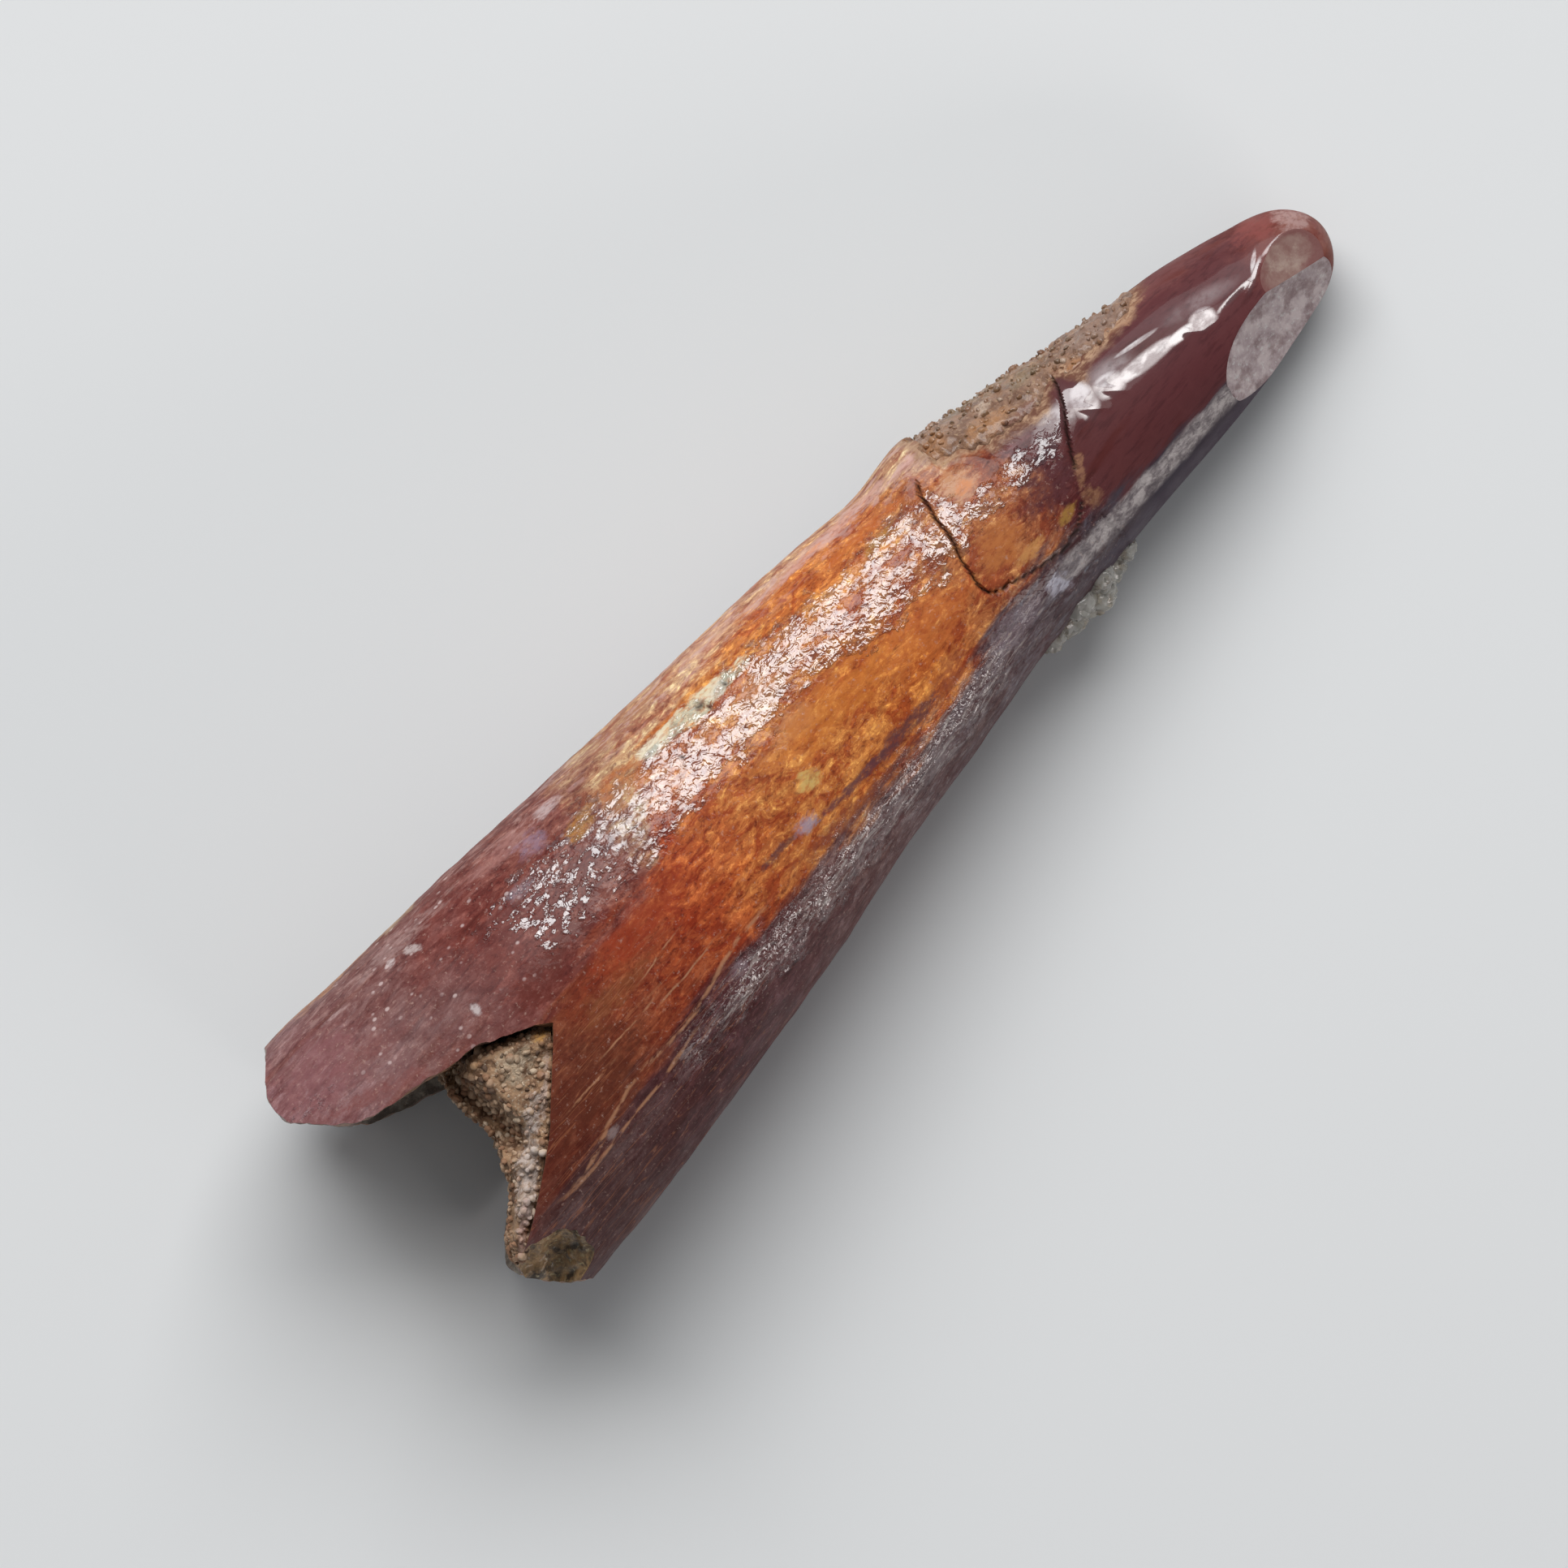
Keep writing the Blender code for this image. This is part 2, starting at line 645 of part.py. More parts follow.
def main() -> None:
    """Builds every piece of the fossil."""
    clear_scene()
    finished(build_tooth(), TOOTH_FINISH, 35)
    finished(pulp_plug(), SANDSTONE_FINISH, 50)
    crust = crust_shell("sand_crust", 0.0, GAP - SCAR_DEPTH, CRUST_PROUD, CRUST_LUMP_HEIGHT)
    finished(crust, CRUST_FINISH, 50)
    finished(grain_clump("quartz_grains", 0.0), QUARTZ_FINISH, 40)


main()
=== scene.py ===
"""Looks of the fossil pterosaur tooth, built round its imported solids.

The tooth lies on its side, with the broken root at -X and the worn tip at +X. Sizes are in
millimetres until a point is placed. `along` is measured from the root's far end, `across` points
to the side that carries the sand crust, and `up` is the height over the surface that it lies on.
"""

import logging
import math
from dataclasses import dataclass, fields
from enum import Enum

import bmesh
import bpy
import numpy as np
from mathutils import Matrix, Vector, noise


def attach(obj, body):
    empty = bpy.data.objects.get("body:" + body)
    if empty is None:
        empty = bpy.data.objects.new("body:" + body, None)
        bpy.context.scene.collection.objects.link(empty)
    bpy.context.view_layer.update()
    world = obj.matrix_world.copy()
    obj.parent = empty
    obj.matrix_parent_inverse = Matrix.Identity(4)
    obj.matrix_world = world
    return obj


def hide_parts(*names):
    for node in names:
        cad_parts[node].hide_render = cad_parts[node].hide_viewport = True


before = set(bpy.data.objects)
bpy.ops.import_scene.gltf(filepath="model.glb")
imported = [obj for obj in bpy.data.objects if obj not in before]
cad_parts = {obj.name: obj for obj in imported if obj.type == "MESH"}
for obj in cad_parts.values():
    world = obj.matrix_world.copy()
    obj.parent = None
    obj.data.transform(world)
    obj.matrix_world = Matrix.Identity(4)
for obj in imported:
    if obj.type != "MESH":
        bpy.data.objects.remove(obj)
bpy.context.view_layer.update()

MM = 0.001
BODY = "root"
ROOT_START = -0.6
SIDE_REACH = 4.5
Colour = tuple[float, float, float]
Path = tuple[tuple[float, float], ...]
Stops = tuple[tuple[float, Colour], ...]
Faces = list[tuple[int, ...]]
Socket = bpy.types.NodeSocket
log = logging.getLogger("fossil")


class Slot(Enum):
    """The record's material slots."""

    TOOTH = "tooth"
    SANDSTONE = "sandstone"
    CRUST = "cemented_sand"
    QUARTZ = "quartz"


def smoothstep(start: float, end: float, value):
    """0 before start, 1 past end and an S curve between them, for a number or an array."""
    t = np.clip((value - start) / (end - start), 0.0, 1.0)
    return t * t * (3 - 2 * t)


def noise_at(points: np.ndarray, size: float, seed: float = 0.0) -> np.ndarray:
    """Smooth noise from about -1 to 1.

    Args:
        points: Places in millimetres, one a row.
        size: How far apart the noise's bumps are.
        seed: Shifts the pattern.

    Returns:
        One value for each row.
    """
    shift = Vector((seed, seed * 0.7, -seed))
    return np.array([noise.noise(Vector(point) / size + shift) for point in points.tolist()])


def path_distance(points: np.ndarray, path: Path) -> np.ndarray:
    """How far each place is from a path of straight pieces.

    Args:
        points: Places along and across, one a row.
        path: The path's corners, along and across.

    Returns:
        One distance for each row.
    """
    nearest = np.full(len(points), np.inf)
    corners = np.array(path)
    for start, end in zip(corners, corners[1:]):
        run = end - start
        share = np.clip(((points - start) @ run) / (run @ run), 0.0, 1.0)
        nearest = np.minimum(nearest, np.linalg.norm(points - start - share[:, None] * run, axis=1))
    return nearest


def add_object(name: str, mesh: bpy.types.Mesh) -> bpy.types.Object:
    """A new object in the scene that shows the mesh."""
    made = bpy.data.objects.new(name, mesh)
    bpy.context.scene.collection.objects.link(made)
    return made


def mesh_of(name: str, points: np.ndarray, faces: Faces) -> bpy.types.Mesh:
    """A mesh with its faces turned outwards.

    Args:
        name: The mesh's name.
        points: Its vertices in metres, one a row.
        faces: The vertices of each face.

    Returns:
        The new mesh.
    """
    mesh = bpy.data.meshes.new(name)
    mesh.from_pydata(points.tolist(), [], faces)
    mesh.update()
    corners = np.array([(face[0], face[1], face[2]) for face in faces])
    a, b, c = (points[corners[:, k]] for k in range(3))
    if np.einsum("ij,ij->", a, np.cross(b, c)) < 0:
        mesh.flip_normals()
    return mesh


def ring_faces(rings: int, count: int) -> Faces:
    """Quads between each ring of vertices and the next, round the whole ring."""
    faces = []
    for ring in range(rings - 1):
        here, there = ring * count, (ring + 1) * count
        for i in range(count):
            j = (i + 1) % count
            faces.append((here + i, here + j, there + j, there + i))
    return faces


def fan_faces(start: int, count: int, tip: int, turned: bool = False) -> Faces:
    """Triangles from the ring of vertices at start to one tip."""
    pairs = [(start + i, start + (i + 1) % count) for i in range(count)]
    return [(b, a, tip) if turned else (a, b, tip) for a, b in pairs]


def cell_faces(row: int, column: int, columns: int, offset: int) -> Faces:
    """One cell of a grid of vertices, and the same cell turned over in the grid at the offset."""
    corner = row * columns + column
    cell = (corner, corner + columns, corner + columns + 1, corner + 1)
    return [cell, tuple(offset + i for i in reversed(cell))]


def evenly(corners: np.ndarray, step: float, endpoint: bool = True) -> np.ndarray:
    """Points about a step apart on the lines through the corners, one a row."""
    lengths = np.concatenate(([0.0], np.cumsum(np.linalg.norm(np.diff(corners, axis=0), axis=1))))
    places = np.linspace(0.0, lengths[-1], int(lengths[-1] / step), endpoint=endpoint)
    return np.stack([np.interp(places, lengths, corners[:, k]) for k in range(2)], axis=1)


def set_attribute(mesh: bpy.types.Mesh, name: str, values: np.ndarray) -> None:
    """Writes one number for each vertex."""
    layer = mesh.attributes.get(name) or mesh.attributes.new(name, "FLOAT", "POINT")
    layer.data.foreach_set("value", values.astype(np.float32))


def vertex_places(mesh: bpy.types.Mesh) -> np.ndarray:
    """The mesh's vertices in metres, one a row."""
    flat = np.empty(len(mesh.vertices) * 3, dtype=np.float32)
    mesh.vertices.foreach_get("co", flat)
    return flat.reshape(-1, 3).astype(float)


def smooth(made: bpy.types.Object, degrees: float) -> None:
    """Shades the object smooth, with sharp edges where it turns by more than the angle."""
    made.data.shade_smooth()
    made.data.set_sharp_from_angle(angle=math.radians(degrees))


def settle(made: bpy.types.Object) -> None:
    """Turns an object and its modifiers into one plain mesh."""
    bpy.context.view_layer.update()
    graph = bpy.context.evaluated_depsgraph_get()
    mesh = bpy.data.meshes.new_from_object(made.evaluated_get(graph), depsgraph=graph)
    old = made.data
    made.modifiers.clear()
    made.data = mesh
    mesh.name = made.name
    bpy.data.meshes.remove(old)


def boolean(target: bpy.types.Object, tool: bpy.types.Object, operation: str) -> None:
    """Applies one Boolean with the tool, which is then removed.

    Args:
        target: The object that changes, and takes over the tool's material on the new faces.
        tool: The other object.
        operation: DIFFERENCE or UNION.
    """
    modifier = target.modifiers.new(tool.name, "BOOLEAN")
    modifier.operation = operation
    modifier.solver = "EXACT"
    modifier.material_mode = "TRANSFER"
    modifier.object = tool
    settle(target)
    if not target.data.polygons:
        raise RuntimeError(f"nothing is left of {target.name} after {tool.name}")
    bpy.data.objects.remove(tool, do_unlink=True)


@dataclass(frozen=True)
class Section:
    """The tooth's cross-section at one place along it: its centre and half sizes."""

    centre_across: float
    centre_up: float
    half_width: float
    half_depth: float


@dataclass(frozen=True)
class ToothForm:
    """The tooth's outer form, with the same sizes as the solids.

    Attributes:
        side_edges: Distance along, edge at +Y and edge at -Y, seen from above.
        middle_across: Where the middle of the bounding box lies across.
    """

    length: float = 27.0
    middle_across: float = 0.083
    side_edges: tuple[tuple[float, float, float], ...] = (
        (-1.0, 4.06, -3.95), (1.3, 4.03, -3.92), (2.8, 3.88, -3.84), (5.0, 3.69, -3.7), (7.4, 3.48, -3.47),
        (9.8, 3.22, -3.22), (12.3, 3.0, -2.87), (14.7, 2.74, -2.64), (16.6, 2.5, -2.43), (18.4, 2.28, -2.31),
        (20.2, 1.8, -2.23), (22.2, 1.31, -2.21), (23.9, 0.98, -2.13), (25.1, 0.63, -1.99), (26.0, 0.34, -1.86),
        (27.0, 0.2, -1.8),
    )
    depth_share_root: float = 0.79
    depth_share_tip: float = 0.88
    section_power: float = 2.12
    tip_round_length: float = 1.2
    belly_flat_depth: float = 0.12
    lift_start: float = 20.5
    lift_at_tip: float = 0.32
    swell_height: float = 0.045
    swell_length: float = 3.2
    swell_width: float = 1.5
    swell_turns: float = 3.0
    lip_along: float = 18.4
    lip_rise_length: float = 1.9
    lip_height: float = 0.24
    lip_angle: float = math.radians(12)
    lip_half_spread: float = math.radians(62)
    lip_top_spread: float = math.radians(40)
    lip_unevenness: float = 0.16

    def placed(self, along: float, across: float, up: float) -> Vector:
        """A point of the model in metres, with the origin below the middle of the tooth."""
        return Vector((along - self.length / 2, across - self.middle_across, up)) * MM

    def placed_all(self, points: np.ndarray) -> np.ndarray:
        """Points of the model in metres, one a row."""
        return (points - (self.length / 2, self.middle_across, 0.0)) * MM

    def measured(self, places: np.ndarray) -> np.ndarray:
        """Points in metres as along, across and up in millimetres."""
        return places / MM + (self.length / 2, self.middle_across, 0.0)

    def edge(self, column: int, along: float) -> float:
        """A smooth curve through one column of the side edges."""
        rows = self.side_edges
        last = len(rows) - 2
        i = next((n for n in range(last) if rows[n + 1][0] > along), last)
        span = rows[i + 1][0] - rows[i][0]

        def slope(n: int) -> float:
            """The edge's slope at one row of the table."""
            before, after = rows[max(n - 1, 0)], rows[min(n + 1, len(rows) - 1)]
            return (after[column] - before[column]) / (after[0] - before[0])

        t = (along - rows[i][0]) / span
        start, end = rows[i][column], rows[i + 1][column]
        rise = end - start
        a = slope(i) * span - rise
        b = rise - slope(i + 1) * span
        return start + t * rise + t * (1 - t) * (a * (1 - t) + b * t)

    def section(self, along: float) -> Section:
        """The cross-section before any damage, with the tip rounded over its last stretch."""
        left, right = self.edge(1, along), self.edge(2, along)
        past = max(along - (self.length - self.tip_round_length), 0.0) / self.tip_round_length
        rounding = math.sqrt(max(1 - past**2, 0.0))
        more_depth = (self.depth_share_tip - self.depth_share_root) * along / self.length
        half_width = (left - right) / 2
        half_depth = half_width * (self.depth_share_root + more_depth)
        lift = self.lift_at_tip * max((along - self.lift_start) / (self.length - self.lift_start), 0.0) ** 2
        centre_up = half_depth - self.belly_flat_depth + lift
        return Section((left + right) / 2, centre_up, half_width * rounding, half_depth * rounding)

    def directions(self, angles: np.ndarray) -> tuple[np.ndarray, np.ndarray]:
        """The section's shape at each angle, as shares of its half width and half depth."""
        power = 2 / self.section_power
        cosine, sine = np.cos(angles), np.sin(angles)
        return np.sign(cosine) * np.abs(cosine) ** power, np.sign(sine) * np.abs(sine) ** power

    def ring(self, along: float, angles: np.ndarray, heights) -> np.ndarray:
        """One ring of points on the tooth's side.

        Args:
            along: Where the ring is.
            angles: Angles that turn from +Y to +Z.
            heights: How far each point stands outside the plain section.

        Returns:
            Along, across and up of each point, one a row.
        """
        section = self.section(along)
        across, up = self.directions(angles)
        wide = section.centre_across + (section.half_width + heights) * across
        high = section.centre_up + (section.half_depth + heights) * up
        return np.stack((np.full(len(angles), along), wide, high), axis=1)

    def base_heights(self, along: float, angles: np.ndarray) -> np.ndarray:
        """Swells and the lip, as heights over the plain section."""
        circle = np.stack((np.cos(angles), np.sin(angles), np.zeros(len(angles))), axis=1)
        turned = self.swell_turns / self.swell_width
        places = np.full((len(angles), 3), along / self.swell_length)
        places[:, 1:] = circle[:, :2] * turned
        swell = self.swell_height * noise_at(places, 1.0) * smoothstep(self.length, self.length - 5.0, along)
        turn = np.remainder(angles - self.lip_angle + math.pi, math.tau) - math.pi
        reach = np.where(turn > 0, self.lip_top_spread, self.lip_half_spread)
        spread = smoothstep(1.0, 0.5, np.abs(turn) / reach)
        uneven = noise_at(circle, 0.3, 3.0) + 0.5 * noise_at(circle, 0.09, 1.0) - 0.5
        edge = self.lip_along + self.lip_unevenness * uneven
        rise = smoothstep(edge - self.lip_rise_length, edge, along) * (along <= edge)
        return swell + self.lip_height * spread * rise

    def sections(self, along: np.ndarray, end: float) -> list[np.ndarray]:
        """Centre across, centre up, half width and half depth at many places up to the end."""
        stations = np.linspace(ROOT_START, end, 140)
        rows = [self.section(station) for station in stations]
        columns = [[getattr(row, field.name) for row in rows] for field in fields(Section)]
        return [np.interp(along, stations, column) for column in columns]

    def outer_up(self, along: np.ndarray, across: np.ndarray) -> np.ndarray:
        """Height of the plain upper surface at places seen from above."""
        centre, up, width, depth = self.sections(along, self.length)
        share = np.clip(np.abs((across - centre) / width), 0.0, 1.0)
        return up + depth * (1 - share**self.section_power) ** (1 / self.section_power)

    def angle_of(self, points: np.ndarray) -> np.ndarray:
        """The angle round the section at each place, for places in millimetres."""
        centre, up, width, depth = self.sections(points[:, 0], self.length - 0.3)
        flat, high = (points[:, 1] - centre) / width, (points[:, 2] - up) / depth
        power = self.section_power / 2
        return np.arctan2(np.sign(high) * np.abs(high) ** power, np.sign(flat) * np.abs(flat) ** power)

    def normal(self, along: float, angle: float) -> Vector:
        """The outward direction at a point of the tooth's side."""
        step = 0.02
        here, around = self.ring(along, np.array([angle, angle + step]), 0.0)
        forward = self.ring(along + step, np.array([angle]), 0.0)[0] - here
        return Vector(around - here).cross(Vector(forward)).normalized()


class NodeDesk:
    """Adds the nodes of one tree and joins them, one step a line."""

    def __init__(self, tree: bpy.types.NodeTree) -> None:
        """Keeps the tree that the nodes go into."""
        self.tree = tree

    def add(self, kind: str, sources: dict | None = None, **settings) -> bpy.types.Node:
        """A new node with its own settings, and a socket or a plain value for its inputs."""
        node = self.tree.nodes.new(kind)
        for name, value in settings.items():
            setattr(node, name, value)
        self.feed(node, sources or {})
        return node

    def feed(self, node: bpy.types.Node, sources: dict) -> None:
        """Joins a socket to each named input, or sets the input to a plain value."""
        for name, source in sources.items():
            socket = node.inputs[name]
            if isinstance(source, Socket):
                self.tree.links.new(source, socket)
            elif isinstance(source, tuple) and socket.type == "RGBA":
                socket.default_value = (*source, 1.0)
            else:
                socket.default_value = source

    def shade(self, sources: dict) -> None:
        """Sets the inputs of the material's Principled shader."""
        self.feed(self.tree.nodes["Principled BSDF"], sources)

    def math(self, operation: str, first, second=0.0, clamp: bool = False) -> Socket:
        """One step of arithmetic."""
        settings = {"operation": operation, "use_clamp": clamp}
        return self.add("ShaderNodeMath", {0: first, 1: second}, **settings).outputs[0]

    def plus(self, first, second) -> Socket:
        """The sum of two values."""
        return self.math("ADD", first, second)

    def minus(self, first, second) -> Socket:
        """The first value less the second."""
        return self.math("SUBTRACT", first, second)

    def times(self, first, *others) -> Socket:
        """The product of all the values."""
        for other in others:
            first = self.math("MULTIPLY", first, other)
        return first

    def apart(self, first, second) -> Socket:
        """How far two values are from each other."""
        return self.math("ABSOLUTE", self.minus(first, second))

    def most(self, first, *others) -> Socket:
        """The largest of the values."""
        for other in others:
            first = self.math("MAXIMUM", first, other)
        return first

    def vector(self, operation: str, first, second) -> Socket:
        """One step of arithmetic on vectors."""
        node = self.add("ShaderNodeVectorMath", {0: first, 1: second}, operation=operation)
        return node.outputs["Value" if operation == "LENGTH" else "Vector"]

    def scaled(self, vector, factor) -> Socket:
        """A vector times a number."""
        return self.add("ShaderNodeVectorMath", {0: vector, "Scale": factor}, operation="SCALE").outputs[0]

    def attribute(self, name: str) -> Socket:
        """The value that is written on the mesh."""
        return self.add("ShaderNodeAttribute", attribute_name=name).outputs["Fac"]

    def spots(self, point, per_mm, detail=2.0, rough=0.5, twist=0.0, shift=(0, 0, 0)) -> Socket:
        """Noise from 0 to 1 on a point in millimetres.

        Args:
            point: The point's socket.
            per_mm: Bumps for each millimetre, along, across and up.
            detail: How many finer layers it has.
            rough: How strong each finer layer is.
            twist: How much it is distorted.
            shift: Moves the pattern, in millimetres.

        Returns:
            The noise's value socket.
        """
        scale = per_mm if isinstance(per_mm, tuple) else (per_mm,) * 3
        moved = self.add("ShaderNodeMapping", {"Vector": point, "Location": shift, "Scale": scale}).outputs[0]
        settings = {"Vector": moved, "Scale": 1.0, "Detail": detail, "Roughness": rough, "Distortion": twist}
        return self.add("ShaderNodeTexNoise", settings).outputs["Fac"]

    def centred(self, *noise_settings, **more) -> Socket:
        """The same noise, from -0.5 to 0.5."""
        return self.minus(self.spots(*noise_settings, **more), 0.5)

    def span(self, value, low: float, high: float, to_low: float = 0.0, to_high: float = 1.0) -> Socket:
        """to_low where the value is low, to_high where it is high, with an S curve between."""
        settings = {"Value": value, "From Min": low, "From Max": high, "To Min": to_low, "To Max": to_high}
        return self.add("ShaderNodeMapRange", settings, interpolation_type="SMOOTHSTEP").outputs["Result"]

    def blend(self, factor, first, second, mode: str = "MIX") -> Socket:
        """Mixes two colours."""
        sources = {0: factor, 6: first, 7: second}
        return self.add("ShaderNodeMix", data_type="RGBA", blend_type=mode, sources=sources).outputs[2]

    def ramp(self, value, stops: Stops, reach: float = 1.0) -> Socket:
        """A colour that follows a value through the stops, whose places run from 0 to reach."""
        node = self.add("ShaderNodeValToRGB", {"Fac": self.math("DIVIDE", value, reach)})
        elements = node.color_ramp.elements
        while len(elements) < len(stops):
            elements.new(0.5)
        for element, (place, colour) in zip(elements, stops):
            element.position = place / reach
            element.color = (*colour, 1.0)
        return node.outputs["Color"]

    def curve(self, value, points: Path, reach: float, high: float) -> Socket:
        """A curve through the points, for values from 0 to reach and heights from -high to high."""
        node = self.add("ShaderNodeFloatCurve", {"Value": self.math("DIVIDE", value, reach)})
        line = node.mapping.curves[0]
        while len(line.points) < len(points):
            line.points.new(0.5, 0.5)
        for place, (x, y) in zip(line.points, points):
            place.location = (x / reach, (y + high) / (2 * high))
            place.handle_type = "AUTO_CLAMPED"
        node.mapping.update()
        return self.minus(self.times(node.outputs["Value"], 2 * high), high)

    def bump(self, height, depth: float) -> Socket:
        """The surface's direction with bumps of a depth in millimetres."""
        return self.add("ShaderNodeBump", {"Distance": depth * MM, "Height": height}).outputs[0]

    def patch(self, point, ragged, fine, spot: "ColourPatch") -> Socket:
        """The soft-edged mask of one patch, through a node group that all patches share.

        Args:
            point: The point's socket, in millimetres from the model's origin.
            ragged: Noise that breaks the patch's edge.
            fine: Finer noise that thins the patch in spots.
            spot: The patch.

        Returns:
            The mask's socket.
        """
        sources = {
            "Point": point,
            "Ragged noise": ragged,
            "Fine noise": fine,
            "Centre": spot.centre,
            "Reach": spot.reach,
            "Turn": math.radians(spot.turn),
            "Edge": 1.0 - spot.edge,
            "Raggedness": spot.ragged,
            "Strength": spot.strength,
        }
        return self.add("ShaderNodeGroup", sources, node_tree=patch_group()).outputs["Mask"]

    def patched(self, point, colour, patches: "tuple[ColourPatch, ...]") -> Socket:
        """Lays patches over a colour, each over the ones before it."""
        if not patches:
            return colour
        ragged = self.spots(point, (1.8, 3.8, 3.8), 6, 0.72, 0.3, shift=(4, 4, 1))
        fine = self.spots(point, (6.0, 11.0, 11.0), 3, 0.6, 0.2, shift=(4, 2, 6))
        for spot in patches:
            colour = self.blend(self.patch(point, ragged, fine, spot), colour, spot.colour)
        return colour


def new_group(name: str, kind: str, inputs: dict[str, str], output: tuple[str, str]) -> NodeDesk:
    """A desk with a new node group.

    Args:
        name: The group's name.
        kind: The kind of its tree.
        inputs: Name and kind of each input.
        output: Name and kind of its output.

    Returns:
        The desk.
    """
    tree = bpy.data.node_groups.new(name, kind)
    for label, socket in inputs.items():
        tree.interface.new_socket(label, in_out="INPUT", socket_type=f"NodeSocket{socket}")
    tree.interface.new_socket(output[0], in_out="OUTPUT", socket_type=f"NodeSocket{output[1]}")
    return NodeDesk(tree)


def patch_group() -> bpy.types.NodeTree:
    """The node group that gives a patch's mask, made once."""
    name = "soft_patch"
    if name in bpy.data.node_groups:
        return bpy.data.node_groups[name]
    vectors = ("Point", "Centre", "Reach")
    numbers = ("Ragged noise", "Fine noise", "Turn", "Edge", "Raggedness", "Strength")
    inputs = dict.fromkeys(vectors, "Vector") | dict.fromkeys(numbers, "Float")
    desk = new_group(name, "ShaderNodeTree", inputs, ("Mask", "Float"))
    given = desk.add("NodeGroupInput").outputs
    off = desk.vector("SUBTRACT", given["Point"], given["Centre"])
    back = desk.times(given["Turn"], -1.0)
    turned = desk.add("ShaderNodeVectorRotate", {"Vector": off, "Angle": back}, rotation_type="Z_AXIS")
    scaled = desk.vector("DIVIDE", turned.outputs[0], given["Reach"])
    far = desk.vector("LENGTH", scaled, (0.0, 0.0, 0.0))
    rag = desk.times(desk.minus(given["Ragged noise"], 0.5), given["Raggedness"])
    inside = desk.span(desk.plus(far, rag), 1.0, given["Edge"])
    worn = desk.span(given["Fine noise"], 0.36, 0.56, 0.45, 1.0)
    desk.add("NodeGroupOutput", {"Mask": desk.times(inside, worn, given["Strength"])})
    return desk.tree


def new_material(name: str) -> tuple[bpy.types.Material, NodeDesk, Socket]:
    """A new material, its desk, and the place in millimetres from the model's origin."""
    material = bpy.data.materials.new(name)
    material.use_nodes = True
    desk = NodeDesk(material.node_tree)
    return material, desk, desk.scaled(desk.add("ShaderNodeTexCoord").outputs["Object"], 1 / MM)


FORM = ToothForm()


@dataclass(frozen=True)
class ColourPatch:
    """A soft-edged patch of colour on the tooth's upper side.

    Attributes:
        name: What the patch is.
        along: Its middle along the tooth.
        across: Its middle across the tooth.
        long: Half its length.
        wide: Half its width.
        colour: Its linear colour.
        strength: How much of the colour below it covers.
        turn: Its turn, in degrees, from along towards across.
        edge: Share of its reach that is soft edge.
        ragged: How strongly its edge is broken up.
    """

    name: str
    along: float
    across: float
    long: float
    wide: float
    colour: Colour
    strength: float = 0.8
    turn: float = 0.0
    edge: float = 0.6
    ragged: float = 2.6

    @property
    def centre(self) -> Vector:
        """Its middle on the tooth's surface, in millimetres from the model's origin."""
        section = FORM.section(self.along)
        share = min(abs((self.across - section.centre_across) / section.half_width), 1.0)
        rise = (1 - share**FORM.section_power) ** (1 / FORM.section_power)
        return FORM.placed(self.along, self.across, section.centre_up + section.half_depth * rise) / MM

    @property
    def reach(self) -> Vector:
        """Its half sizes, deep enough to cover the curve of the surface."""
        return Vector((self.long, self.wide, max(self.wide * 1.6, 0.9)))

